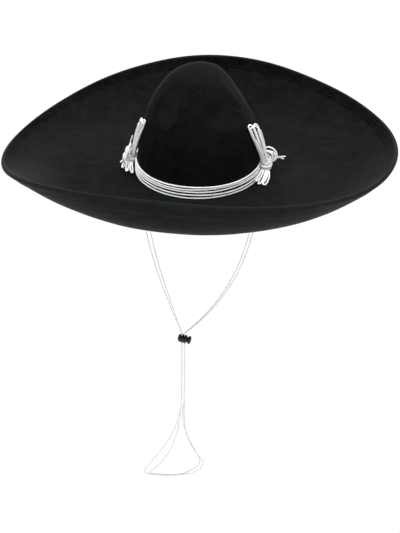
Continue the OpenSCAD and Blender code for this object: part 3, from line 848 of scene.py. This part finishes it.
def chin_cord_path():
    """The closed path of the cord: down the left, round the bottom loop and up the right
    outside the eyelets, then back the same way inside them."""
    left, right = LOCK_X - PAIR_X, LOCK_X + PAIR_X
    lx, rx, q = left / MM, right / MM, PAIR_Y / MM
    loop = LOOP_Z / MM
    straight = STRAIGHT_END / MM

    def straight_run(x, y):
        return np.linspace((x, y, MOUTH_Z), (x, y, STRAIGHT_END), 60)

    outer = [
        hanging_strand(-STRAND_OUT, (-88, -125), (-50, -222), left, PAIR_Y),
        straight_run(left, PAIR_Y)[:-1],
        chained_curves([
            (lx, q, straight), (-30, q, straight - 70), (-60, q, loop + 47),
            (-82, q, loop + 12), (-88, q, loop + 3), (-82, q, loop),
            (-74, q, loop), (-50, q, loop - 1), (-18, -q, loop + 2),
            (3, -q, loop + 17), (10, -q, loop + 23), (14, -q, loop + 30),
            (9, -q, loop + 39), (-20, -q, loop + 77), (-20, -q, straight - 50),
            (rx, -q, straight)]),
        straight_run(right, -PAIR_Y)[::-1],
        hanging_strand(STRAND_OUT, (90, -120), (58, -214), right, -PAIR_Y)[::-1],
    ]
    inner = [
        hanging_strand(STRAND_IN, (86, -115), (54, -214), right, PAIR_Y),
        straight_run(right, PAIR_Y)[:-1],
        chained_curves([
            (rx, q, straight), (-30, q, straight - 55), (-6, q, loop + 67),
            (5, q, loop + 39), (9, q, loop + 27), (-3, q, loop + 17),
            (-20, q, loop + 7), (-40, 0, loop + 2), (-60, -q, loop + 2.5),
            (-72, -q, loop + 3), (-79, -q, loop + 3.5), (-77, -q, loop + 7),
            (-71, -q, loop + 11), (-38, -q, loop + 42), (-27, -q, straight - 60),
            (lx, -q, straight)]),
        straight_run(left, -PAIR_Y)[::-1],
        hanging_strand(-STRAND_IN, (-80, -125), (-46, -214), left, -PAIR_Y)[::-1],
    ]
    return np.concatenate(outer + inner)


def build_chin_cord(material):
    mesh = Mesh()
    add_rope(mesh, chin_cord_path(), CORD_R, CORD_PITCH, closed=True, per_ply=3, steps=9)
    mesh.piece("chin_cord_rope", material, "white_cord", "chin_cord", "chin_cord")


# ---------- cord lock, eyelets and tabs ----------

# Along the lock's own axis, measured from the middle of its cord hole; the button is
# on the right
LOCK_R = 6.6 * MM
LOCK_TILT = math.radians(12)
PRESS = 1.6 * MM
CORD_HOLE_R = math.hypot(PAIR_X, PAIR_Y) + 1.02 * MM
BODY_RIGHT = CORD_HOLE_R + 1.0 * MM
COLLAR_END = BODY_RIGHT + 1.5 * MM
CAP_LEFT = BODY_RIGHT + PRESS + 0.2 * MM
NECK_END = CAP_LEFT + 1.4 * MM
CAP_RIGHT = CAP_LEFT + 6.4 * MM
NECK_R = LOCK_R - 2.0 * MM
STEM_R = 4.0 * MM
SLOT_LEFT = -PAIR_X - 1.05 * MM
SLOT_RIGHT = PAIR_X + 1.35 * MM + PRESS
SLOT_HALF = PAIR_Y + 1.2 * MM
STEM_END = SLOT_LEFT - 1.1 * MM
CHAMBER_FLOOR = STEM_END - PRESS - 1.5 * MM
BODY_LEFT = CHAMBER_FLOOR - 1.1 * MM
LOCK_CENTRE = np.array([LOCK_X, 0, LOCK_Z])
LOCK_AXIS = np.array([math.cos(LOCK_TILT), 0, -math.sin(LOCK_TILT)])
LOCK_DOWN = np.array([-math.sin(LOCK_TILT), 0, -math.cos(LOCK_TILT)])
PIP_R = 0.3 * MM
CUTTER_REACH = 12 * MM


def corner(z, r, size, start, end, n):
    """Points of a rounded corner of a turned outline, about (z, r), in degrees."""
    b = np.radians(np.linspace(start, end, n))
    return [(z + size * math.cos(k), r + size * math.sin(k)) for k in b]


def shoulder(z, r, size, n):
    """The rounded corner where a turned outline steps out to r at z."""
    return corner(z + size, r - size, size, 180, 90, n)


def turned(outline, centre, axis, side, columns=96):
    """Sections of a shape turned about an axis, one ring for each (z, r) of its outline."""
    angle = circle(columns)[:, None]
    spoke = np.cos(angle) * side + np.sin(angle) * np.cross(axis, side)
    return np.array([centre + z * axis + r * spoke for z, r in outline])


def cut_away(piece, cutter):
    """Cuts one closed mesh out of another and keeps the cut's edges crisp."""
    tool = piece.modifiers.new("cut", "BOOLEAN")
    tool.operation, tool.solver, tool.object = "DIFFERENCE", "EXACT", cutter
    evaluated = piece.evaluated_get(bpy.context.evaluated_depsgraph_get())
    mesh = bpy.data.meshes.new_from_object(evaluated)
    piece.modifiers.clear()
    piece.data = mesh
    bpy.data.objects.remove(cutter)
    mesh.set_sharp_from_angle(angle=math.radians(35))


def build_lock_body(material):
    """Ball-ended body with a flared cord hole, a spring chamber and a collar."""
    rim_r, play = 1.8 * MM, 0.06 * MM
    outline = [(BODY_LEFT, PIP_R), *shoulder(BODY_LEFT, LOCK_R, 5 * MM, 14),
               *corner(COLLAR_END - rim_r, LOCK_R - rim_r, rim_r, 90, 0, 9),
               (COLLAR_END - 0.1 * MM, NECK_R + 2 * play), (BODY_RIGHT, NECK_R + 2 * play),
               (BODY_RIGHT, STEM_R + play), (CHAMBER_FLOOR, STEM_R + play),
               (CHAMBER_FLOOR, PIP_R)]
    mesh = Mesh()
    add_tube(mesh, turned(outline, LOCK_CENTRE, LOCK_AXIS, LOCK_DOWN))
    body = mesh.object("cord_lock_body", material)
    hole = Mesh()
    rows = []
    for z in np.linspace(-CUTTER_REACH, CUTTER_REACH, 49):
        flare = np.clip((abs(z) - 5.4 * MM) / (1.4 * MM), 0, 1) ** 2 * 0.55 * MM
        rows.append((z, CORD_HOLE_R + flare))
    add_tube(hole, turned(rows, LOCK_CENTRE, UP, RIGHT, 64))
    cut_away(body, hole.object("cord_hole", material))
    finish_piece(body, "lock_body", "cord_lock")


def build_lock_button(material):
    """Domed button with a neck and a stem that is slotted for the cords."""
    dome_r = 3.4 * MM
    outline = [(STEM_END, PIP_R), *shoulder(STEM_END, STEM_R, 0.3 * MM, 4),
               (CAP_LEFT, STEM_R), *shoulder(CAP_LEFT, NECK_R, 0.2 * MM, 4),
               (NECK_END, NECK_R), *shoulder(NECK_END, LOCK_R, 1.5 * MM, 8),
               *corner(CAP_RIGHT - dome_r, LOCK_R - dome_r, dome_r, 90, 0, 12),
               (CAP_RIGHT, PIP_R)]
    mesh = Mesh()
    add_tube(mesh, turned(outline, LOCK_CENTRE, LOCK_AXIS, LOCK_DOWN))
    button = mesh.object("cord_lock_button", material)
    slot = Mesh()
    round_r = 0.8 * MM
    loop = []
    for x, y, start in ((SLOT_RIGHT, SLOT_HALF, 0), (SLOT_LEFT, SLOT_HALF, 90),
                        (SLOT_LEFT, -SLOT_HALF, 180), (SLOT_RIGHT, -SLOT_HALF, 270)):
        loop += corner(x - math.copysign(round_r, x), y - math.copysign(round_r, y), round_r,
                       start, start + 90, 6)
    rows = [[LOCK_CENTRE + [x, y, z] for x, y in loop] for z in (-CUTTER_REACH, CUTTER_REACH)]
    add_tube(slot, np.array(rows))
    cut_away(button, slot.object("stem_slot", material))
    finish_piece(button, "lock_button", "lock_button")


def build_lock_spring(material):
    """Coil spring between the chamber's floor and the button's stem, at rest."""
    wire, radius, coils = 0.22 * MM, 2.9 * MM, 3
    low, high = CHAMBER_FLOOR + wire + 0.05 * MM, STEM_END - wire - 0.05 * MM
    share = np.linspace(0, 1, 40 * coils)
    climb = np.clip((share - 0.12) / 0.76, 0, 1)
    angle = (TAU * coils * share)[:, None]
    centre = (LOCK_CENTRE + (low + (high - low) * climb)[:, None] * LOCK_AXIS
              + radius * (np.cos(angle) * LOCK_DOWN + np.sin(angle) * BACK))
    across, other, _ = path_frames(centre)
    mesh = Mesh()
    add_tube(mesh, sections_round(centre, across, other, wire, circle(10)))
    spring = mesh.piece("lock_coil_spring", material, "spring", "lock_spring", "cord_lock")
    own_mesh(spring)


def build_eyelet(word, side, material):
    """Metal eyelet with a rolled flange on each face of the tab."""
    # Height from the middle of the tab and radius, in mm, round one flange
    half = [(0.4, 0.98), (0.8, 1.05), (1.1, 1.35), (1.2, 1.9), (1.12, 2.6), (0.95, 3.02),
            (0.8, 3.1), (0.68, 3.0), (0.65, 2.7), (0.65, 1.9)]
    outline = MM * np.array(half + [(-z, r) for z, r in half[::-1]])
    centre = np.array([side * TAB_X, 0, EYELET_Z])
    ring_piece(turned(outline, centre, RIGHT, BACK, 72), f"{word}_metal_eyelet", material,
               "eyelet", f"{word}_eyelet")


def build_tab(word, side, material):
    """Doubled ribbon tab, square at its top and round round the eyelet at its foot."""
    half_w, top, hole_r, half_t = 5.5 * MM, 10 * MM, 1.95 * MM, 0.54 * MM
    rise = top - EYELET_Z
    corner_angle = math.atan2(half_w, rise)
    sections = []
    for b in np.sort([*circle(120), corner_angle, TAU - corner_angle]):
        c, s = math.cos(b), math.sin(b)
        reach = half_w if c <= 0 else min(rise / c, half_w / max(abs(s), 1e-9))
        row = []
        for face in (1, -1):
            for share in np.linspace(0, 1, 16)[::face]:
                r = hole_r + (reach - hole_r) * share
                edge = min(share, 1 - share) * (reach - hole_r)
                swell = math.sqrt(min(1.0, edge / (0.5 * MM) + 0.05))
                rib = 0.05 * MM * math.cos(TAU * r * c / (1.4 * MM)) * (0.15 < share < 0.95)
                row.append([side * TAB_X + face * (half_t * swell + rib), r * s,
                            EYELET_Z + r * c])
        sections.append(row)
    ring_piece(np.array(sections), f"{word}_ribbon_tab", material, "tab", f"{word}_cord_tab")


# ---------- materials ----------


class Nodes:
    """Short names for building one node material."""

    def __init__(self, name):
        self.material = bpy.data.materials.new(name)
        self.material.use_nodes = True
        self.tree = self.material.node_tree
        self.shader = self.tree.nodes["Principled BSDF"]
        self.place = self.new("TexCoord", "Object")

    def feed(self, socket, value):
        """Links an input to another node's output, or sets it to a number or a colour."""
        if isinstance(value, bpy.types.NodeSocket):
            self.tree.links.new(value, socket)
        elif socket.type == "RGBA":
            socket.default_value = (*value, 1.0)
        else:
            socket.default_value = value

    def new(self, kind, output, inputs=None, **settings):
        """Adds a node, feeds its inputs and returns one of its outputs."""
        node = self.tree.nodes.new("ShaderNode" + kind)
        for key, value in settings.items():
            setattr(node, key, value)
        for key, value in (inputs or {}).items():
            self.feed(node.inputs[key], value)
        return node.outputs[output]

    def finish(self, **values):
        """Feeds the main shader's inputs, with _ for a space, and returns the material."""
        for key, value in values.items():
            self.feed(self.shader.inputs[key.replace("_", " ")], value)
        return self.material

    def noise(self, scale, detail=3.0, roughness=0.5, stretch=None, distortion=0.0):
        place = self.place
        if stretch:
            place = self.new("Mapping", "Vector", {"Vector": place, "Scale": stretch})
        return self.new("TexNoise", "Fac", {
            "Vector": place, "Scale": scale, "Detail": detail, "Roughness": roughness,
            "Distortion": distortion})

    def spread(self, value, low, high, from_low=0.3, from_high=0.7):
        return self.new("MapRange", "Result", {
            "Value": value, "From Min": from_low, "From Max": from_high, "To Min": low,
            "To Max": high})

    def math(self, operation, a, b):
        return self.new("Math", "Value", {0: a, 1: b}, operation=operation)

    def weighted(self, *parts):
        """The sum of outputs, each times its weight."""
        total = 0.0
        for output, weight in parts:
            total = self.math("ADD", total, self.math("MULTIPLY", output, weight))
        return total

    def mix(self, factor, a, b, blend="MIX"):
        return self.new("Mix", "Result", {"Factor": factor, "A": a, "B": b}, data_type="RGBA",
                        blend_type=blend)

    def bump(self, height, strength, distance, **below):
        return self.new("Bump", "Normal", {"Height": height, "Strength": strength,
                                           "Distance": distance, **below})

    def edges(self, low=0.5, high=0.6):
        """1 on outside edges, 0 on flat ground and in hollows: edge wear on felt, ribbon and
        plastic, and the painted shade in a cord's grooves.
        """
        return self.spread(self.new("NewGeometry", "Pointiness"), 0, 1, low, high)


def felt_material(name, dark, light, sheen_and_wear_colour, sheen, painted_sheen_width=0.2):
    """Wool felt: cloudy tone, matted fibres, lighter worn edges and a painted sheen that
    lightens the colour at grazing angles; painted light stored on the mesh lightens or darkens
    the tone.
    """
    m = Nodes(name)
    clouds = m.spread(m.noise(11, 4, 0.6, distortion=0.8), 0, 1, 0.32, 0.68)
    mottle = m.spread(m.noise(75, 4, 0.65), 0, 1, 0.36, 0.64)
    matting = m.spread(m.noise(430, 4, 0.65), 0, 1, 0.36, 0.64)
    specks = m.spread(m.noise(620, 2, 0.5), 0, 1, 0.54, 0.70)
    # Painted light and painted shade stored on the mesh, added into the tone below.
    painted_light = m.new("Attribute", "Fac", attribute_name="painted_light")
    tone = m.weighted((clouds, 0.26), (mottle, 0.26), (matting, 0.26), (specks, 0.30),
                      (painted_light, 0.28))
    # Painted sheen: the colour turns lighter where the surface turns away from the view, mixed
    # in together with the edge wear.
    painted_sheen = m.math("POWER", m.new("LayerWeight", "Facing"), 1 / painted_sheen_width)
    painted_sheen = m.math("MULTIPLY", painted_sheen, m.spread(tone, 0.7, 1.3, 0.2, 0.9))
    worn = m.math("MULTIPLY", m.edges(0.54, 0.7), 0.2)
    fibres = m.weighted((m.noise(260, 3, 0.6, stretch=(1, 5, 5)), 1),
                        (m.noise(260, 3, 0.6, stretch=(5, 1, 5)), 1), (matting, 1))
    rough_nap = m.bump(mottle, 0.35, 1.2 * MM)
    return m.finish(
        Base_Color=m.mix(m.math("MAXIMUM", painted_sheen, worn), m.mix(tone, dark, light), sheen_and_wear_colour),
        Roughness=m.spread(matting, 0.86, 1.0, 0, 1), Specular_IOR_Level=0.04,
        Sheen_Roughness=0.25, Sheen_Weight=sheen, Sheen_Tint=(0.92, 0.97, 0.97),
        Normal=m.bump(fibres, 0.55, 0.4 * MM, Normal=rough_nap))


def cord_material(name, light, shade, glow):
    """Twisted rayon cord: bright plies, painted shade in the grooves and fine fibres."""
    m = Nodes(name)
    fibres = m.noise(1400, 3, 0.6)
    dirt = m.spread(m.noise(45, 3, 0.5), 0.9, 1.0)
    # Painted shade: the colour goes from light on the plies to the shade colour in the grooves.
    return m.finish(
        Base_Color=m.mix(1.0, m.mix(m.edges(0.40, 0.52), shade, light), dirt, "MULTIPLY"),
        Roughness=m.spread(fibres, 0.38, 0.58), Specular_IOR_Level=0.45, Sheen_Weight=0.2,
        Sheen_Roughness=0.4, Subsurface_Weight=glow, Subsurface_Scale=0.8 * MM,
        Normal=m.bump(fibres, 0.3, 0.15 * MM))


def thread_material():
    m = Nodes("dark_thread")
    return m.finish(
        Base_Color=m.mix(m.noise(900, 3), (0.002, 0.0022, 0.0022), (0.007, 0.0075, 0.0075)),
        Roughness=0.7, Specular_IOR_Level=0.12, Sheen_Weight=0.03,
        Normal=m.bump(m.noise(2600, 2), 0.3, 0.08 * MM))


def satin_material():
    """Lining satin: warp-faced weave with a long soft shine."""
    m = Nodes("lining_satin")
    warp = m.noise(1100, 2, 0.5, stretch=(1, 1, 0.06))
    weft = m.noise(1100, 2, 0.5, stretch=(0.3, 0.3, 1.6))
    tone = m.spread(m.noise(30, 3), 0, 1)
    return m.finish(
        Base_Color=m.mix(tone, (0.012, 0.012, 0.015), (0.024, 0.024, 0.029)),
        Roughness=m.spread(warp, 0.24, 0.42), Specular_IOR_Level=0.5, Anisotropic=0.6,
        Sheen_Weight=0.15, Normal=m.bump(m.math("ADD", warp, weft), 0.18, 0.12 * MM))


def grosgrain_material():
    """Ribbon of the sweatband and tabs, greyer where its edges wear."""
    m = Nodes("grosgrain")
    weave = m.noise(1600, 2, 0.5, stretch=(1, 1, 0.5))
    tone = m.spread(m.noise(25, 4), 0, 1)
    colour = m.mix(tone, (0.008, 0.008, 0.009), (0.018, 0.017, 0.017))
    worn = m.math("MULTIPLY", m.edges(0.5, 0.58), 0.4)
    return m.finish(
        Base_Color=m.mix(worn, colour, (0.035, 0.034, 0.034)),
        Roughness=m.spread(weave, 0.5, 0.75), Specular_IOR_Level=0.25, Sheen_Weight=0.2,
        Sheen_Roughness=0.4, Normal=m.bump(weave, 0.35, 0.12 * MM))


def mesh_cloth_material():
    """Open cloth of the brim's stiffening, its threads along and across."""
    m = Nodes("stiffener_cloth")
    threads = m.math("ADD", m.noise(700, 1, 0.4, stretch=(1, 0.05, 0.05)),
                     m.noise(700, 1, 0.4, stretch=(0.05, 1, 0.05)))
    tone = m.spread(threads, 0, 1, 0.8, 1.2)
    return m.finish(Base_Color=m.mix(tone, (0.12, 0.12, 0.11), (0.3, 0.3, 0.28)),
                    Roughness=0.8, Normal=m.bump(threads, 0.5, 0.2 * MM))


def metal_material(name, dark, light, low_rough, high_rough):
    m = Nodes(name)
    return m.finish(
        Base_Color=m.mix(m.spread(m.noise(600, 4), 0, 1), dark, light), Metallic=1.0,
        Roughness=m.spread(m.noise(1500, 3), low_rough, high_rough),
        Normal=m.bump(m.noise(2500, 3), 0.12, 0.03 * MM))


def plastic_material():
    """Polished black plastic with fine handling marks."""
    m = Nodes("black_plastic")
    marks = m.noise(500, 4, 0.6, stretch=(1, 1, 6))
    return m.finish(
        Base_Color=m.mix(m.edges(0.52, 0.62), (0.003, 0.003, 0.0035), (0.02, 0.02, 0.021)),
        Roughness=m.spread(marks, 0.14, 0.30), Specular_IOR_Level=0.22, Coat_Weight=0.12,
        Coat_Roughness=0.06, Normal=m.bump(marks, 0.06, 0.05 * MM))


# ---------- build the hat ----------

# The third colour of each felt is its painted sheen and edge-wear colour.
brim_felt = felt_material("brim_felt", (0.0003, 0.0004, 0.0004), (0.0100, 0.0109, 0.0108),
                          (0.025, 0.027, 0.027), 0.033)
crown_felt = felt_material("crown_felt", (0.0004, 0.0005, 0.0004), (0.0079, 0.0088, 0.0086),
                           (0.034, 0.037, 0.036), 0.010, painted_sheen_width=0.10)
binding_felt = felt_material("binding_felt", (0.0007, 0.0008, 0.0008), (0.0104, 0.0113, 0.0115),
                             (0.030, 0.032, 0.033), 0.02)
white_cord = cord_material("white_cord", (0.96, 0.96, 0.95), (0.60, 0.60, 0.60), 0.15)
chin_cord_white = cord_material("chin_cord_white", (0.70, 0.70, 0.695), (0.64, 0.64, 0.64), 0)
thread = thread_material()
steel = metal_material("spring_steel", (0.42, 0.42, 0.42), (0.62, 0.62, 0.62), 0.22, 0.4)
dark_metal = metal_material("dark_nickel", (0.12, 0.12, 0.125), (0.3, 0.3, 0.31), 0.2, 0.42)
plastic = plastic_material()
tape = grosgrain_material()

brim_layer("brim_felt_top", "brim_top", 0.0, TOP_FELT_T, brim_felt, "brim_felt")
brim_layer("brim_stiffening", "brim_stiffener", TOP_FELT_T + GAP,
           TOP_FELT_T + GAP + STIFFENER_T, mesh_cloth_material(), "stiffener", rows=30)
brim_layer("brim_felt_bottom", "brim_bottom", TOP_FELT_T + STIFFENER_T + 2 * GAP, BRIM_T,
           brim_felt, "brim_felt")
build_wire(steel)
build_binding(binding_felt)
build_rim_stitching(thread)
build_crown(crown_felt)
build_lining(satin_material())
build_oval_stitching("crown_seam_stitches", "crown_seam_stitching", CROWN_W - CROWN_T / 2,
                     CROWN_L - CROWN_T / 2, crown_box[0].z, lambda a: -UP,
                     3.4 * MM, thread)
build_sweatband(tape)
band_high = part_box("sweatband")[1]
build_oval_stitching("sweatband_stitches", "sweatband_stitching", band_high.x - SWEATBAND_T,
                     band_high.y - SWEATBAND_T, 0.0,
                     lambda a: -math.cos(a) * RIGHT - math.sin(a) * BACK, 3.2 * MM, thread)

build_hatband(white_cord)
# What differs between the sides. Places are trim_point's s, h and out; a curl is its
# middle, radius, first and last angle and drift; a hanging tip ends with its half width.
TRIM_SIDES = {
    "right": dict(
        side=1, tall=1.0, depth=1.0, curl_turn=0,
        curls=[((3, 30.0, 14.5), 10.6, 226, -112, 5), ((6, 27.5, 12), 7.2, 215, -140, -4),
               ((1, 27.5, 17), 5.2, 250, -100, 4), ((10, 28, 10.5), 8.2, 235, -120, -3)],
        tips=[(43, 6.5, 6.5, 2.0), (43, 3.0, 10.5, 2.2), (36, 3.0, 13.5, 2.4),
              (41, 2.6, 17.5, 3.2)],
        tails=[[(2, 17, 14), (0, 21, 21), (-1, 23, 29), (1, 25.5, 36.5)],
               [(0, 15, 14), (-2, 19, 21), (-2, 21, 27), (-3, 18.5, 33.5)]]),
    "left": dict(
        side=-1, tall=0.97, depth=0.6, curl_turn=80,
        curls=[((12, 26, 11.0), 9.0, 226, -112, 3), ((10, 21, 16.0), 7.4, 200, -150, -3),
               ((17, 16, 15.0), 6.2, 250, -100, 3), ((4, 20, 15.5), 6.6, 230, -120, 2),
               ((10, 15, 18.5), 5.0, 160, -190, 2), ((14, 21, 11.5), 6.8, 190, -150, -2),
               ((8, 25, 12.5), 5.6, 240, -110, 2)],
        tips=[(37, 5.0, 8.5, 1.6), (30, 4.5, 15.0, 1.8), (20, 5.0, 20.0, 1.6),
              (25, 2.8, 12.5, 2.4)],
        tails=[[(6, 20, 12), (3, 28, 13.0), (1, 36, 12.5), (0, 44, 11)],
               [(6, 17, 12), (9, 14, 17), (14, 11, 21), (17, 9.5, 24)]]),
}
for word, trim in TRIM_SIDES.items():
    build_standing_loops(word, trim, white_cord)
    build_curl_loops(word, trim, white_cord)
    build_knot(word, trim, white_cord)
    build_hanging_loops(word, trim, white_cord)
    build_tails(word, trim, white_cord)
build_chin_cord(chin_cord_white)

build_lock_body(plastic)
build_lock_button(plastic)
build_lock_spring(steel)
for word, trim in TRIM_SIDES.items():
    build_eyelet(word, trim["side"], dark_metal)
    build_tab(word, trim["side"], tape)

# ---------- floor, light and camera ----------

FLOOR_Z = -0.62
FLOOR_R = 14.0
SEEN_WHITE = 1.01


def build_floor():
    """A plain pale floor that the camera sees evenly white, and that can be looked
    through from below."""
    m = Nodes("pale_floor")
    m.finish(Base_Color=m.mix(m.noise(3, 2), (0.86, 0.86, 0.86), (0.89, 0.89, 0.89)),
             Roughness=0.9, Specular_IOR_Level=0.1, Emission_Color=(1, 1, 1),
             Emission_Strength=0.5)
    white = m.new("Emission", "Emission", {"Strength": SEEN_WHITE})
    looked_at = m.new("MixShader", "Shader", {
        "Fac": m.new("LightPath", "Is Camera Ray"), 1: m.shader.outputs["BSDF"], 2: white})
    see_through = m.new("MixShader", "Shader", {
        "Fac": m.new("NewGeometry", "Backfacing"), 1: looked_at,
        2: m.new("BsdfTransparent", "BSDF")})
    m.feed(m.tree.nodes["Material Output"].inputs["Surface"], see_through)
    corners = [(FLOOR_R * math.cos(b), FLOOR_R * math.sin(b), FLOOR_Z) for b in circle(64)]
    mesh = bpy.data.meshes.new("floor")
    mesh.from_pydata(corners, [], [tuple(range(len(corners)))])
    mesh.materials.append(m.material)
    linked_object("floor", mesh)


def build_world(light, seen):
    """A white studio: light is what falls on the hat, seen is what the camera sees."""
    world = bpy.data.worlds.new("studio")
    bpy.context.scene.world = world
    world.use_nodes = True
    tree = world.node_tree
    background = tree.nodes["Background"]
    background.inputs["Color"].default_value = (1, 1, 1, 1)
    path = tree.nodes.new("ShaderNodeLightPath")
    strength = tree.nodes.new("ShaderNodeMapRange")
    strength.inputs["To Min"].default_value = light
    strength.inputs["To Max"].default_value = seen
    tree.links.new(path.outputs["Is Camera Ray"], strength.inputs["Value"])
    tree.links.new(strength.outputs["Result"], background.inputs["Strength"])


def softbox(name, place, aim, size, watts):
    lamp = bpy.data.lights.new(name, "AREA")
    lamp.shape = "RECTANGLE"
    lamp.size, lamp.size_y = size
    lamp.energy = watts
    obj = linked_object(name, lamp)
    obj.location = place
    obj.rotation_euler = (Vector(aim) - Vector(place)).to_track_quat("-Z", "Y").to_euler()


def build_camera(azimuth, elevation, roll, distance, aim, lens):
    camera = linked_object("camera", bpy.data.cameras.new("camera"))
    a, e = math.radians(azimuth), math.radians(elevation)
    back = Vector((math.sin(a) * math.cos(e), -math.cos(a) * math.cos(e), math.sin(e)))
    camera.location = Vector(aim) + back * distance
    camera.rotation_mode = "QUATERNION"
    camera.rotation_quaternion = ((-back).to_track_quat("-Z", "Y")
                                  @ Quaternion((0, 0, 1), math.radians(roll)))
    camera.data.lens = lens
    camera.data.sensor_width = 36
    camera.data.clip_start, camera.data.clip_end = 0.05, 100
    bpy.context.scene.camera = camera


build_floor()
build_world(0.7, SEEN_WHITE)
softbox("key", (-0.9, -1.1, 2.3), (0, 0, 0), (1.8, 1.8), 38)
softbox("fill", (1.6, -0.6, 1.4), (0, 0, 0), (1.2, 1.6), 12)
softbox("top", (0.1, 0.2, 2.4), (0, 0, 0), (2.0, 2.0), 50)
softbox("rim", (0.2, 1.9, 1.5), (0, 0, 0.05), (2.2, 1.0), 25)
bpy.context.scene.view_settings.view_transform = "Standard"
build_camera(6.41, 29.73, 0.62, 2.388, (0.00295, 0, -0.1665), 107.31)
